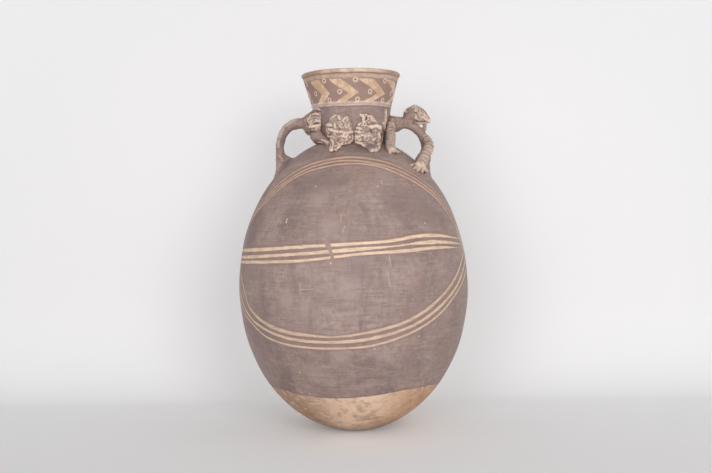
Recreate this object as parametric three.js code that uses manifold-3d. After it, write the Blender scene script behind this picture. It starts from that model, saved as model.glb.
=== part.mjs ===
// An egg-shaped fired-clay jar with a flared collar, two loop handles modelled as animals and a
// band of crouching animals round its neck. It is built as a potter builds it: thrown and coiled
// wall sections luted edge to edge, and solid clay coils, balls and pellets pressed on outside.
// Millimetres, z up. The jar stands on z = 0 and its axis is the z axis; the front faces -y.
import * as THREE from "three";
import Module from "manifold-3d";
import { mergeVertices } from "three/addons/utils/BufferGeometryUtils.js";

const wasm = await Module();
wasm.setup();

// Driving dimensions of the pot.
const bellyRadius = 136.4;
const bellyHeight = 168;
const footRadius = 21;
const shoulderRise = 181;
const baseBowlHeight = 52;
const lowerRingTop = 110;
const bellyRingTop = 226;
const upperRingTop = 290;
const wallThickness = 7;
const floorThickness = 9;
const neckFootRadius = 39.5;
const neckRise = 43.5;
const neckWall = 6.5;
const collarFootRadius = 47.4;
const collarRise = 34;
const collarTopRadius = 57.2;
const rimOverhang = 1.4;
const rimThickness = 5.4;
const rimLift = 1;

// Driving dimensions of the clay pressed on outside.
const clayGap = 0.3;
const handleRadius = 5.9;
const handleFootReach = 85;
const handleFootDepth = 5;
const legRadius = 4.2;
const ribDepth = 1.1;
const hindRibs = 8;
const foreRibs = 9;
const hindFootRadius = 67;
const foreFootRadius = 88;
const toeRadius = 2;
const toeLength = 7;
const outerToeShorter = 2;
const toeLift = 1.2;
const armRadius = 6.6;
const armTaper = 2.4;
const headSize = 11;
const earRadius = 3.4;
const lipRadius = 2.3;
const figureReach = 15;
const fingerRadius = 1.8;
const armBandRadius = 1.5;
const eyeRingRadius = 2.7;
const eyeRingThickness = 1.1;

const turnedSides = 36;
const ballSides = 8;
const ballRows = 6;
const coilSides = 6;

// Lengths that follow from the driving ones.
const lowerDepth = bellyHeight / Math.sqrt(1 - (footRadius / bellyRadius) ** 2);
const neckFoot = shoulderHeight(neckFootRadius);
const collarFoot = neckFoot + neckRise;
const collarTop = collarFoot + collarRise;
const boreRadius = neckFootRadius - neckWall;

const slip = new THREE.MeshStandardMaterial({ color: 0x6a5753, roughness: 0.82, metalness: 0 });
const bareClay = new THREE.MeshStandardMaterial({ color: 0xa98560, roughness: 0.88, metalness: 0 });
const rubbedSlip = new THREE.MeshStandardMaterial({ color: 0x8c7566, roughness: 0.85, metalness: 0 });
const creamSlip = new THREE.MeshStandardMaterial({ color: 0xcdb08c, roughness: 0.85, metalness: 0 });

// The height of the jar's shoulder at a distance from the axis.
function shoulderHeight(radius) {
  return bellyHeight + shoulderRise * Math.sqrt(1 - (radius / bellyRadius) ** 2);
}

// A three.js geometry as a closed solid.
function solid(geometry) {
  const bare = geometry.index ? geometry.toNonIndexed() : geometry.clone();
  bare.deleteAttribute("normal");
  bare.deleteAttribute("uv");
  const merged = mergeVertices(bare, 1e-4);
  return new wasm.Manifold(
    new wasm.Mesh({
      numProp: 3,
      vertProperties: merged.attributes.position.array,
      triVerts: new Uint32Array(merged.index.array),
    }),
  );
}

function meshOf(name, shape, material) {
  const made = shape.getMesh();
  const geometry = new THREE.BufferGeometry();
  geometry.setAttribute("position", new THREE.BufferAttribute(made.vertProperties, 3));
  geometry.setIndex(new THREE.BufferAttribute(made.triVerts, 1));
  geometry.computeVertexNormals();
  const mesh = new THREE.Mesh(geometry, material);
  mesh.name = name;
  return mesh;
}

// Wall sections, turned from an outline of [radius, height] points.

function turned(outline) {
  const points = outline.map(([radius, z]) => new THREE.Vector2(radius, z));
  const lathe = new THREE.LatheGeometry(points, turnedSides);
  return solid(lathe.rotateX(Math.PI / 2));
}

// An egg is two half ellipses with one radius across the belly, one depth below it and one rise above.
const outerEgg = { across: bellyRadius, depth: lowerDepth, rise: shoulderRise };
const innerEgg = {
  across: bellyRadius - wallThickness,
  depth: bellyHeight - floorThickness,
  rise: shoulderRise - wallThickness,
};

function heightOnEgg({ across, rise }, radius) {
  return bellyHeight + rise * Math.sqrt(1 - (radius / across) ** 2);
}

// Points on an egg's outline between two heights.
function eggArc({ across, depth, rise }, zFrom, zTo, steps) {
  const angleAt = (z) => Math.asin((z - bellyHeight) / (z < bellyHeight ? depth : rise));
  return Array.from({ length: steps + 1 }, (_, i) => {
    const angle = THREE.MathUtils.lerp(angleAt(zFrom), angleAt(zTo), i / steps);
    const half = angle < 0 ? depth : rise;
    return [across * Math.cos(angle), bellyHeight + half * Math.sin(angle)];
  });
}

function closed(outline) {
  return [...outline, outline[0]];
}

function baseBowl() {
  const outside = eggArc(outerEgg, 0, baseBowlHeight, 5);
  const inside = eggArc(innerEgg, baseBowlHeight, floorThickness, 4).slice(0, -1);
  return turned([[0, 0], ...outside, ...inside, [0, floorThickness]]);
}

// One ring of wall between two heights.
function wallRing(zFrom, zTo, steps) {
  return turned(closed([...eggArc(outerEgg, zFrom, zTo, steps), ...eggArc(innerEgg, zTo, zFrom, steps)]));
}

// The top ring, which narrows to the neck's bore.
function shoulder() {
  const outside = eggArc(outerEgg, upperRingTop, neckFoot, 5);
  const inside = eggArc(innerEgg, heightOnEgg(innerEgg, boreRadius), upperRingTop, 4);
  return turned(closed([...outside, [boreRadius, neckFoot], ...inside]));
}

function neckTube() {
  return turned(
    closed([
      [neckFootRadius, neckFoot],
      [collarFootRadius, collarFoot],
      [collarFootRadius - neckWall, collarFoot],
      [boreRadius, neckFoot],
    ]),
  );
}

function collar() {
  return turned(
    closed([
      [collarFootRadius, collarFoot],
      [collarTopRadius, collarTop],
      [collarTopRadius - rimThickness, collarTop],
      [collarFootRadius - neckWall, collarFoot],
    ]),
  );
}

// The rolled lip: a coil set on the collar, flat below and half round above.
function rimCoil() {
  const halfWidth = (rimThickness + rimOverhang) / 2;
  const middle = collarTopRadius + rimOverhang - halfWidth;
  const over = Array.from({ length: 6 }, (_, i) => {
    const angle = (Math.PI * i) / 5;
    return [middle + halfWidth * Math.cos(angle), collarTop + rimLift + halfWidth * Math.sin(angle)];
  });
  return turned(closed([[collarTopRadius, collarTop], ...over, [collarTopRadius - rimThickness, collarTop]]));
}

// The jar's outside above the belly as one filled solid, grown by a margin.
function jarFilled(margin) {
  const egg = { across: bellyRadius + margin, depth: lowerDepth, rise: shoulderRise + margin };
  const junction = heightOnEgg(egg, neckFootRadius + margin);
  const shoulderLine = eggArc(egg, bellyHeight, junction, 11);
  const neck = [
    [collarFootRadius + margin, collarFoot],
    [collarTopRadius + margin, collarTop],
  ];
  return turned([[0, bellyHeight], ...shoulderLine, ...neck, [0, collarTop]]);
}

// Places on the jar. turn is degrees round the axis from the front, positive to the right;
// h is the height over the neck's foot; reach is the distance out from the neck's foot radius.

function spot(turn, h, reach) {
  const angle = THREE.MathUtils.degToRad(turn);
  const radius = neckFootRadius + reach;
  return new THREE.Vector3(radius * Math.sin(angle), -radius * Math.cos(angle), neckFoot + h);
}

// A place on the shoulder at a distance from the axis, lifted straight up.
function onShoulder(turn, radius, lift) {
  return spot(turn, shoulderHeight(radius) - neckFoot + lift, radius - neckFootRadius);
}

// A place on one side of the jar: x out from the neck's foot, y forward of the handle's plane.
function beside(side, reach, h, forward) {
  return new THREE.Vector3(side * (neckFootRadius + reach), -forward, neckFoot + h);
}

// Clay forms. margin grows a form, so that a neighbour can be cut back from it.

// An ellipsoid whose axes lie across, up and out from the jar's axis at its place.
function ball(margin, place, [across, up, out]) {
  const outward = new THREE.Vector3(place.x, place.y, 0).normalize();
  const upward = new THREE.Vector3(0, 0, 1);
  const sideways = new THREE.Vector3().crossVectors(upward, outward);
  const geometry = new THREE.SphereGeometry(1, ballSides, ballRows);
  geometry.scale(across + margin, up + margin, out + margin);
  geometry.applyMatrix4(new THREE.Matrix4().makeBasis(sideways, upward, outward));
  geometry.translate(place.x, place.y, place.z);
  return solid(geometry);
}

// A coil of clay along a smooth route, rounded over at both ends.
// thickness is its radius, or a function of the share of its length.
function coil(margin, route, thickness, steps = 4, sides = coilSides) {
  const radiusAt = typeof thickness === "function" ? thickness : () => thickness;
  const curve = new THREE.CatmullRomCurve3(route, false, "centripetal");
  const frames = curve.computeFrenetFrames(steps, false);
  const roundOver = Math.SQRT1_2;
  const rings = [];
  const addRing = (i, along, share) => {
    const radius = radiusAt(i / steps) + margin;
    const centre = curve.getPointAt(i / steps).addScaledVector(frames.tangents[i], along * radius);
    rings.push(
      Array.from({ length: sides }, (_, k) => {
        const angle = (2 * Math.PI * k) / sides;
        return centre
          .clone()
          .addScaledVector(frames.normals[i], share * radius * Math.cos(angle))
          .addScaledVector(frames.binormals[i], share * radius * Math.sin(angle));
      }),
    );
  };
  addRing(0, -roundOver, roundOver);
  for (let i = 0; i <= steps; i++) addRing(i, 0, 1);
  addRing(steps, roundOver, roundOver);
  const tip = (i, along) =>
    curve.getPointAt(i / steps).addScaledVector(frames.tangents[i], along * (radiusAt(i / steps) + margin));
  const points = [tip(0, -1), ...rings.flat(), tip(steps, 1)];
  const last = points.length - 1;
  const faces = [];
  for (let k = 0; k < sides; k++) {
    const next = (k + 1) % sides;
    faces.push(0, 1 + next, 1 + k);
    for (let ring = 0; ring < rings.length - 1; ring++) {
      const here = 1 + ring * sides;
      const above = here + sides;
      faces.push(here + k, here + next, above + next, here + k, above + next, above + k);
    }
    faces.push(last, last - sides + k, last - sides + next);
  }
  const geometry = new THREE.BufferGeometry().setFromPoints(points);
  geometry.setIndex(faces);
  return solid(geometry);
}

// A ring of clay lying against the jar.
function ring(margin, place, radius, thickness) {
  const outward = new THREE.Vector3(place.x, place.y, 0).normalize();
  const geometry = new THREE.TorusGeometry(radius, thickness + margin, 6, 10);
  geometry.lookAt(outward);
  geometry.translate(place.x, place.y, place.z);
  return solid(geometry);
}

function joined(forms) {
  return forms.reduce((whole, form) => whole.add(form));
}

// A leg wound with thin rings of clay: its radius swells at each ring.
function ribbed(radius, ribs) {
  return (share) => radius + ribDepth * Math.abs(Math.sin(Math.PI * ribs * share));
}

// Loop handles, each an arch of clay from the neck to the shoulder.

function handleRoute(side, arch) {
  const free = arch.map(([reach, h]) => beside(side, reach, h, 0));
  const onto = onShoulder(90 * side, handleFootReach, -handleFootDepth);
  return [...free, onto];
}

const leftArch = [
  [1, 22],
  [13, 24],
  [21, 25],
  [29, 23],
  [37, 18],
  [43, 9],
  [46.5, -3],
  [46.5, -15],
];
const rightArch = [
  [1, 20],
  [12, 23],
  [24, 23.5],
  [33, 20.5],
  [41, 13.5],
  [46.5, 5],
  [49, -5],
  [48, -17],
];

function handle(name, side, arch) {
  return { name, shape: (margin) => [coil(margin, handleRoute(side, arch), handleRadius, 14, 8)] };
}

// The head at the neck end of the left handle, with arms that hold the neck's foot on both sides.
function leftArm(name, front) {
  const at = (turn, h, reach) => spot(-90 + front * (90 + turn), h, reach);
  const route = [at(-84, 15, 7), at(-70, 9, 8), at(-55, 5.5, 7), at(-42, 1, 8)];
  return { name, shape: (margin) => [coil(margin, route, (share) => armRadius - armTaper * share, 6)] };
}

const leftBeast = [
  {
    name: "left_head_skull",
    shape: (margin) => [
      ball(margin, spot(-74, 25, 8.5), [headSize + 2, 13, 9]),
      coil(margin, [spot(-86, 29, 11), spot(-78, 36, 7)], 5, 2),
    ],
  },
  {
    name: "left_head_upper_lip",
    shape: (margin) => [
      coil(margin, [spot(-74, 22.5, 17.5), spot(-65, 23.5, 16), spot(-55, 24.5, 8)], lipRadius, 3),
    ],
  },
  {
    name: "left_head_lower_lip",
    shape: (margin) => [
      coil(margin, [spot(-74, 16.5, 16), spot(-65, 17.5, 14.5), spot(-55, 18.5, 7.5)], lipRadius, 3),
    ],
  },
  {
    name: "left_head_nose",
    shape: (margin) => [coil(margin, [spot(-77, 26.5, 17.5), spot(-74, 32, 16)], lipRadius, 2)],
  },
  {
    name: "left_head_eye",
    shape: (margin) => [ball(margin, spot(-63, 31.5, 13), [4.4, 2.4, 3])],
  },
  {
    name: "left_head_jaw",
    shape: (margin) => [
      coil(margin, [spot(-80, 16, 12), spot(-78, 8.5, 14)], (share) => 5.4 - 2.4 * share, 2),
    ],
  },
  leftArm("left_arm_front", 1),
  leftArm("left_arm_back", -1),
];

// The animal whose back is the right handle: rump at the neck, head turned outwards on top and
// four ribbed legs that come down astride the handle. front is 1 for a near leg and -1 for a far one.
function rightLeg(name, front, fromHandle, footTurn, footRadius, ribs, toeTurns) {
  const onFoot = (turn, radius, lift) => onShoulder(90 - front * (90 - turn), radius, lift);
  const upper = fromHandle.map(([reach, h, forward]) => beside(1, reach, h, front * forward));
  const foot = onFoot(footTurn, footRadius, legRadius);
  const toes = toeTurns.map((turn, i) =>
    onFoot(footTurn + turn, footRadius + toeLength - Math.abs(i - 1) * outerToeShorter, toeLift),
  );
  return {
    name,
    shape: (margin) => [
      coil(margin, [...upper, foot], ribbed(legRadius, ribs), 2 * ribs),
      ...toes.map((end) => coil(margin, [foot, end], toeRadius, 1, 5)),
    ],
  };
}

const hindLeg = [
  [7, 19, 8],
  [7, 11, 17],
  [7, 3, 26],
  [7.5, -4, 35],
];
const foreLeg = [
  [50, 8, 7],
  [51.5, -1, 14],
  [50, -9, 21],
  [47, -16, 29],
  [43, -23, 37],
];

const rightBeast = [
  {
    name: "right_rump",
    shape: (margin) => [ball(margin, beside(1, 12, 22, 0), [10, 7.5, 8.5])],
  },
  rightLeg("right_hind_leg_front", 1, hindLeg, 42, hindFootRadius, hindRibs, [-6, 1, 8]),
  rightLeg("right_hind_leg_back", -1, hindLeg, 42, hindFootRadius, hindRibs, [-6, 1, 8]),
  rightLeg("right_fore_leg_front", 1, foreLeg, 58, foreFootRadius, foreRibs, [-7, 0, 7]),
  rightLeg("right_fore_leg_back", -1, foreLeg, 58, foreFootRadius, foreRibs, [-7, 0, 7]),
  {
    name: "right_head_skull",
    shape: (margin) => [ball(margin, beside(1, 33, 33, 1), [headSize - 2, headSize - 1, headSize])],
  },
  {
    name: "right_head_muzzle",
    shape: (margin) => [
      coil(margin, [beside(1, 40, 35.5, 2), beside(1, 52, 27.5, 2)], (share) => 9 - 4.4 * share, 2, 8),
    ],
  },
  {
    name: "right_head_jaw",
    shape: (margin) => [coil(margin, [beside(1, 46.5, 24, 1), beside(1, 46, 17.5, 1)], lipRadius, 1)],
  },
  {
    name: "right_head_near_ear",
    shape: (margin) => [coil(margin, [beside(1, 27, 34, 6), beside(1, 25, 37.5, 8)], earRadius, 1)],
  },
  {
    name: "right_head_crown",
    shape: (margin) => [coil(margin, [beside(1, 35, 41.5, 0), beside(1, 42, 41.5, 0)], earRadius - 0.6, 1)],
  },
  {
    name: "right_head_brow",
    shape: (margin) => [coil(margin, [beside(1, 38, 40, 8), beside(1, 46, 36.5, 9.5)], lipRadius - 0.6, 1)],
  },
  {
    name: "right_head_eye",
    shape: (margin) => [ball(margin, beside(1, 42, 34, 11), [2.4, 2.2, 2.8])],
  },
];

// The crouching animals on the neck, a pair that face each other with their paws together.
// side names the pair, and round turns it about the axis. Their places are [turn, h, back], where
// back is the depth behind the figures' face, which stands out from the neck by figureReach.

function figureMaker(side, round, which) {
  const at = (turn, h, back) => spot(turn + round, h, figureReach - back);
  const foot = (turn, radius, lift) => onShoulder(turn + round, radius, lift);
  const own = (part, shape) => ({ name: `${side}_${which}_figure_${part}`, shape });
  const bar = (margin, radius, ...places) => {
    const route = places.map((place) => at(...place));
    return coil(margin, route, radius, 2 * places.length - 3, 5);
  };
  return { at, foot, own, bar };
}

function rightFigure(side, round) {
  const { at, foot, own, bar } = figureMaker(side, round, "right");
  return [
    own("body", (margin) => [
      ball(margin, at(27, -4, 7.5), [9.5, 10, 9]),
      ball(margin, at(29, 9, 8.5), [11, 10.5, 8]),
    ]),
    own("back_ridge", (margin) => [
      bar(margin, 3, [19, 17, 3.5], [27, 17, 1.5], [34, 16.5, 2], [42, 13.5, 4]),
    ]),
    own("head", (margin) => [
      ball(margin, at(27, 24, 8.5), [9, 7.5, 6]),
      coil(margin, [at(18, 30, 7), at(17, 23, 6), at(16, 17, 4.5)], (s) => 1.8 + 6 * (s - 0.5) ** 2, 3),
      bar(margin, 1.8, [9, 16.5, 6], [19, 18, 3.5]),
    ]),
    own("paw", (margin) => [
      ball(margin, at(11, 3, 5), [8, 13, 5]),
      bar(margin, fingerRadius, [7, 13.5, 3], [12, 11.5, 1.5]),
      bar(margin, fingerRadius, [5, 8.5, 2], [12, 7.5, 0]),
      bar(margin, fingerRadius, [5, 2.5, 1.5], [13, 4, -0.5]),
      bar(margin, fingerRadius, [4, -0.5, 1.5], [10, -2.5, -0.5]),
      bar(margin, fingerRadius, [6, -4.5, 1], [16, -8, -0.5]),
    ]),
    own("eye_ring", (margin) => [ring(margin, at(24, 8.3, -0.6), eyeRingRadius, eyeRingThickness)]),
    own("arm", (margin) => [
      bar(
        margin,
        armBandRadius,
        [15, 4, 0],
        [20, 3.8, -2],
        [24, 1.5, -2.5],
        [24, -2.5, -2.5],
        [20, -5, -1.5],
      ),
    ]),
    own("foot", (margin) => [
      coil(margin, [foot(16, 64, 1), foot(21, 69, 1), foot(26, 64, 1)], 2.4, 3, 5),
      coil(margin, [foot(21, 67, 1), at(23, -8, 1)], 4, 1),
    ]),
  ];
}

function leftFigure(side, round) {
  const { at, foot, own, bar } = figureMaker(side, round, "left");
  return [
    own("body", (margin) => [
      ball(margin, at(-24, 6, 9), [11.5, 14, 8.5]),
      ball(margin, at(-11, 9, 8.5), [8.5, 10, 7.5]),
    ]),
    own("leg", (margin) => [
      coil(margin, [at(-25, 8, 1), at(-24, -1, 0), foot(-20, 64, 3)], (share) => 4 - 1.2 * share, 3),
      coil(margin, [foot(-20, 65, 2), foot(-13, 63, 1)], fingerRadius, 1, 5),
    ]),
    own("head", (margin) => [
      ball(margin, at(-10, 22, 9.5), [9, 8, 6]),
      bar(margin, 1.7, [-15, 27.5, 6.5], [-15, 22, 5.5]),
      bar(margin, 1.6, [-8, 24, 3], [-12, 19.5, 3], [-9, 16, 2.5]),
    ]),
    own("ear", (margin) => [
      coil(margin, [at(-34, 16.5, 6.5), at(-26, 15.5, 4)], 3.4, 2),
      bar(margin, 1.5, [-30, 16, 5], [-31, 22.5, 7.5], [-23, 28, 7.5]),
    ]),
    own("arm", (margin) => [
      bar(margin, 2.1, [-30, 12, 2.5], [-21, 10.5, 0], [-13, 7.5, -1.5]),
      bar(margin, 1.7, [-22, 20.5, 4], [-20, 10.5, 0]),
      bar(margin, armBandRadius, [-20, 10, 0], [-18, 2, -1], [-18, -2, -0.5]),
      bar(margin, 2, [-18, 2, -1], [-10, 2.5, -1.5], [-3, 1.5, 0]),
    ]),
    own("paw", (margin) => [
      ball(margin, at(-5, 1, 5.5), [9, 11, 5]),
      bar(margin, fingerRadius, [-5, 5.5, 0], [2, 8.5, 1.5]),
      bar(margin, fingerRadius, [-13, -0.5, 0], [-5, -3, 0]),
      bar(margin, fingerRadius, [-5, -7, 2], [1, -4, 1.5]),
    ]),
    own("eye_ring", (margin) => [ring(margin, at(-9.5, 10.5, -0.4), eyeRingRadius, eyeRingThickness)]),
  ];
}

const clayPieces = [
  handle("left_handle", -1, leftArch),
  handle("right_handle", 1, rightArch),
  ...leftBeast,
  ...rightBeast,
  ...rightFigure("front", 0),
  ...leftFigure("front", 0),
  ...rightFigure("back", 180),
  ...leftFigure("back", 180),
];

// Presses each piece on in turn: it is cut back from the jar and from every piece before it.
function pressedOn(pieces) {
  const jar = jarFilled(clayGap);
  const placed = [];
  return pieces.map(({ name, shape }) => {
    let form = joined(shape(0)).subtract(jar);
    const { min, max } = form.boundingBox();
    for (const other of placed) {
      const apart = [0, 1, 2].some((k) => other.min[k] > max[k] || other.max[k] < min[k]);
      if (!apart) form = form.subtract(other.grown);
    }
    const grown = joined(shape(clayGap));
    const box = grown.boundingBox();
    placed.push({ grown, min: box.min, max: box.max });
    return meshOf(name, form, rubbedSlip);
  });
}

const wallSections = [
  meshOf("base_bowl", baseBowl(), bareClay),
  meshOf("lower_wall", wallRing(baseBowlHeight, lowerRingTop, 3), slip),
  meshOf("belly_wall", wallRing(lowerRingTop, bellyRingTop, 5), slip),
  meshOf("upper_wall", wallRing(bellyRingTop, upperRingTop, 3), slip),
  meshOf("shoulder", shoulder(), slip),
  meshOf("neck_tube", neckTube(), slip),
  meshOf("collar", collar(), slip),
  meshOf("rim_coil", rimCoil(), creamSlip),
];

const jar = new THREE.Group();
jar.add(...wallSections, ...pressedOn(clayPieces));

export default jar;
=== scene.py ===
# %% [markdown]
# # An effigy jar, built the way a potter builds it
# The jar is a big hollow egg of clay with a flaring collar. It is covered in dark slip and painted with
# pale lines. Animals of soft clay were pressed on at the neck, and two of them make the handles.
# Everything here is in the frame of the CAD model: z is up, the front looks along -y, one unit is a metre.
# The helpers below think in millimetres, as a maker does, and turn into metres when a mesh is made.

# %% Open the frame
import math
from functools import reduce

import bpy
import numpy as np
from mathutils import Matrix


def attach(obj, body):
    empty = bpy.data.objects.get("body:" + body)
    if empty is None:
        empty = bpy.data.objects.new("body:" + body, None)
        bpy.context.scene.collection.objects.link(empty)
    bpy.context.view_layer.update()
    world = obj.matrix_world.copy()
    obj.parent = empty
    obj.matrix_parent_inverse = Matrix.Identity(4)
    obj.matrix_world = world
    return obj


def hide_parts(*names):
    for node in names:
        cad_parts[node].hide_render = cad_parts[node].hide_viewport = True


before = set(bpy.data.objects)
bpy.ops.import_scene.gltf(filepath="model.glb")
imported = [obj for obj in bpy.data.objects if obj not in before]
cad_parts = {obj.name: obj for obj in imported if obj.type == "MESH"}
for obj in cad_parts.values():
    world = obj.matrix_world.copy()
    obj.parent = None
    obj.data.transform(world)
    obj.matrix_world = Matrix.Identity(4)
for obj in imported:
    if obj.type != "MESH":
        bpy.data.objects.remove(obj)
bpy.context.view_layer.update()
MM = 0.001
print("CAD nodes:", len(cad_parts))

# %% [markdown]
# The camera comes first, so that every piece can be looked at as it is made. It stands a little over a
# metre in front of the jar, slightly above its middle and tipped down two degrees, with a 50 mm lens.
# The small roll is there because the jar in the picture leans a hair to the left.

# %% Camera
CAMERA_PLACE = (0.0036, -1.1861, 0.2709)
CAMERA_TIP = math.radians(2.0)
CAMERA_ROLL = math.radians(-0.73)

camera_data = bpy.data.cameras.new("camera")
camera_data.lens = 50
camera_data.sensor_width = 36
camera = bpy.data.objects.new("camera", camera_data)
camera.matrix_world = (
    Matrix.Translation(CAMERA_PLACE)
    @ Matrix.Rotation(math.pi / 2 - CAMERA_TIP, 4, "X")
    @ Matrix.Rotation(CAMERA_ROLL, 4, "Z")
)
bpy.context.scene.collection.objects.link(camera)
bpy.context.scene.camera = camera
bpy.context.scene.view_settings.view_transform = "Standard"
print("camera height:", camera.matrix_world.translation.z)

# %% [markdown]
# The jar's wall is an egg joined to a cone. A real potter smooths the joint with wet fingers, and here a
# soft minimum does the same: where two distances are alike, it rounds the corner between them.
# wall_gap says how far any point is from the jar's skin, so the wall itself and every bit of clay that is
# pressed on it can use one and the same shape. A few slow waves keep it from being a machine-made round.

# %% The jar's wall as a distance
BELLY_RADIUS = 136.4
BELLY_HEIGHT = 168.0
SHOULDER_RISE = 181.0
FOOT_RADIUS = 21.0
LOWER_DEPTH = BELLY_HEIGHT / math.sqrt(1 - (FOOT_RADIUS / BELLY_RADIUS) ** 2)
NECK_RADIUS = 39.5
NECK_FOOT = BELLY_HEIGHT + SHOULDER_RISE * math.sqrt(1 - (NECK_RADIUS / BELLY_RADIUS) ** 2)
COLLAR_FOOT = NECK_FOOT + 43.5
COLLAR_FOOT_RADIUS = 47.4
COLLAR_TOP = COLLAR_FOOT + 34.0
COLLAR_TOP_RADIUS = 57.2
NECK_JOIN = 5.0
FOOT_FADE = 20.0


def soft_min(a, b, blend):
    """The smaller of two distances, rounded over where they are within blend of each other."""
    share = np.maximum(blend - np.abs(a - b), 0) / blend
    return np.minimum(a, b) - share * share * blend / 4


def unevenness(turn, z):
    """How far the hand-made wall strays from a true round, in mm; turn is in radians."""
    swell = 0.42 * np.sin(2 * turn + 0.015 * z + 0.6) + 0.3 * np.sin(3 * turn - 0.027 * z)
    ripple = 0.15 * np.sin(5 * turn + 0.11 * z + 2.0) + 0.1 * np.sin(9 * turn - 0.07 * z + 1.0)
    return swell + ripple


def freedom(radius):
    """The share of the unevenness that a radius takes: none at the foot, so that the jar stands flat."""
    return np.clip((radius - FOOT_RADIUS) / FOOT_FADE, 0, 1)


def wall_gap(x, y, z):
    """Distance from the jar's outer skin in mm, negative inside the jar."""
    across = np.hypot(x, y)
    half_height = np.where(z > BELLY_HEIGHT, SHOULDER_RISE, LOWER_DEPTH)
    u = across / BELLY_RADIUS
    v = (z - BELLY_HEIGHT) / half_height
    size = np.hypot(u, v) + 1e-6
    egg = size * (size - 1) / (np.hypot(u / BELLY_RADIUS, v / half_height) + 1e-9)
    lean = (COLLAR_FOOT_RADIUS - NECK_RADIUS) / (COLLAR_FOOT - NECK_FOOT)
    neck = (across - NECK_RADIUS - lean * (z - NECK_FOOT)) / math.hypot(1, lean)
    return soft_min(egg, neck, NECK_JOIN) - freedom(across) * unevenness(np.arctan2(x, -y), z)


print("neck foot at z =", round(NECK_FOOT, 1), "mm")

# %% [markdown]
# The jar is turned from one closed outline: up the outside, over the lip and down the inside. Each row
# of points below the collar is slid onto the skin where the distance is zero, so the neck grows softly
# from the shoulder. The collar's foot has a thin raised line with a groove under it, cut while the clay
# was damp.

# %% The jar's outline
ROW_ANGLE = math.radians(0.85)
ROW_STEP = 2.0
COLUMNS = 300
WALL = 7.0
FLOOR = 9.0
NECK_WALL = 6.2
INNER_STEP = 4
INNER_ANGLE = math.radians(3)
FLOOR_HOLE = 6.0
COLLAR_LINE = [(-0.5, -2.4), (-0.7, -1.5), (0.2, -0.7), (0.75, 0.2), (0.8, 1.0), (0.55, 1.8)]
COLLAR_START = (COLLAR_FOOT_RADIUS + 0.65, COLLAR_FOOT + 2.4)
COLLAR_END = (COLLAR_TOP_RADIUS - 0.2, COLLAR_TOP - 1.4)
LIP = [
    (0.0, -0.6), (0.9, 0.3), (1.75, 1.6), (1.7, 3.0), (0.7, 4.1), (-0.9, 4.5), (-2.9, 4.1), (-4.6, 2.9),
    (-5.6, 1.0),
]


def egg_rows(radius, up, down, stop_low, stop_high, step):
    """(radius, z) along an egg's outline, from the ring of radius stop_low up to that of stop_high."""
    low = -math.acos(stop_low / radius)
    high = math.acos(stop_high / radius)
    angles = np.linspace(low, high, int((high - low) / step))
    return [(radius * math.cos(a), BELLY_HEIGHT + (up if a > 0 else down) * math.sin(a)) for a in angles]


def straight_rows(start, end, step):
    """(radius, z) along a straight wall, without its first point."""
    count = max(1, round(math.dist(start, end) / step))
    return [tuple(np.array(start) + (np.array(end) - start) * i / count) for i in range(1, count + 1)]


def slide_onto_skin(radius, z):
    """Moves a point of the outline along the distance's slope until it lies on the skin."""
    reach = 0.05
    for _ in range(4):
        gap = float(wall_gap(0.0, -radius, z) + unevenness(0.0, z) * freedom(radius))
        slope_r = (wall_gap(0.0, -radius - reach, z) - wall_gap(0.0, -radius + reach, z)) / (2 * reach)
        slope_z = (wall_gap(0.0, -radius, z + reach) - wall_gap(0.0, -radius, z - reach)) / (2 * reach)
        length = float(slope_r**2 + slope_z**2)
        radius -= gap * float(slope_r) / length
        z -= gap * float(slope_z) / length
    return radius, z


outer = egg_rows(BELLY_RADIUS, SHOULDER_RISE, LOWER_DEPTH, FOOT_RADIUS, NECK_RADIUS, ROW_ANGLE)
outer += straight_rows((NECK_RADIUS, NECK_FOOT), (COLLAR_FOOT_RADIUS, COLLAR_FOOT), ROW_STEP)
outer = outer[:1] + [slide_onto_skin(r, z) for r, z in outer[1:-2]]
outer += [(COLLAR_FOOT_RADIUS + out, COLLAR_FOOT + up) for out, up in COLLAR_LINE]
outer += straight_rows(COLLAR_START, COLLAR_END, ROW_STEP)
lip = [(COLLAR_TOP_RADIUS + out, COLLAR_TOP + up) for out, up in LIP]
inner = straight_rows(lip[-1], (COLLAR_FOOT_RADIUS - NECK_WALL, COLLAR_FOOT), INNER_STEP)
inner += straight_rows(inner[-1], (NECK_RADIUS - NECK_WALL, NECK_FOOT - 2), INNER_STEP)
hollow_size = (BELLY_RADIUS - WALL, SHOULDER_RISE - WALL, BELLY_HEIGHT - FLOOR)
hollow = egg_rows(*hollow_size, FLOOR_HOLE, NECK_RADIUS - NECK_WALL, INNER_ANGLE)
outline = np.array(outer + lip + inner + hollow[::-1])
print("outline rows:", len(outline), "outer rows:", len(outer))

# %% [markdown]
# The outline is spun round the axis: three hundred upright columns of points are joined row by row, and
# two fans of triangles close the flat foot and the middle of the floor inside. The clay animals use
# mesh_from too. It turns millimetres into metres and keeps named values at the points, which the
# materials read later.

# %% Turn the outline into a closed wall


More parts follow.
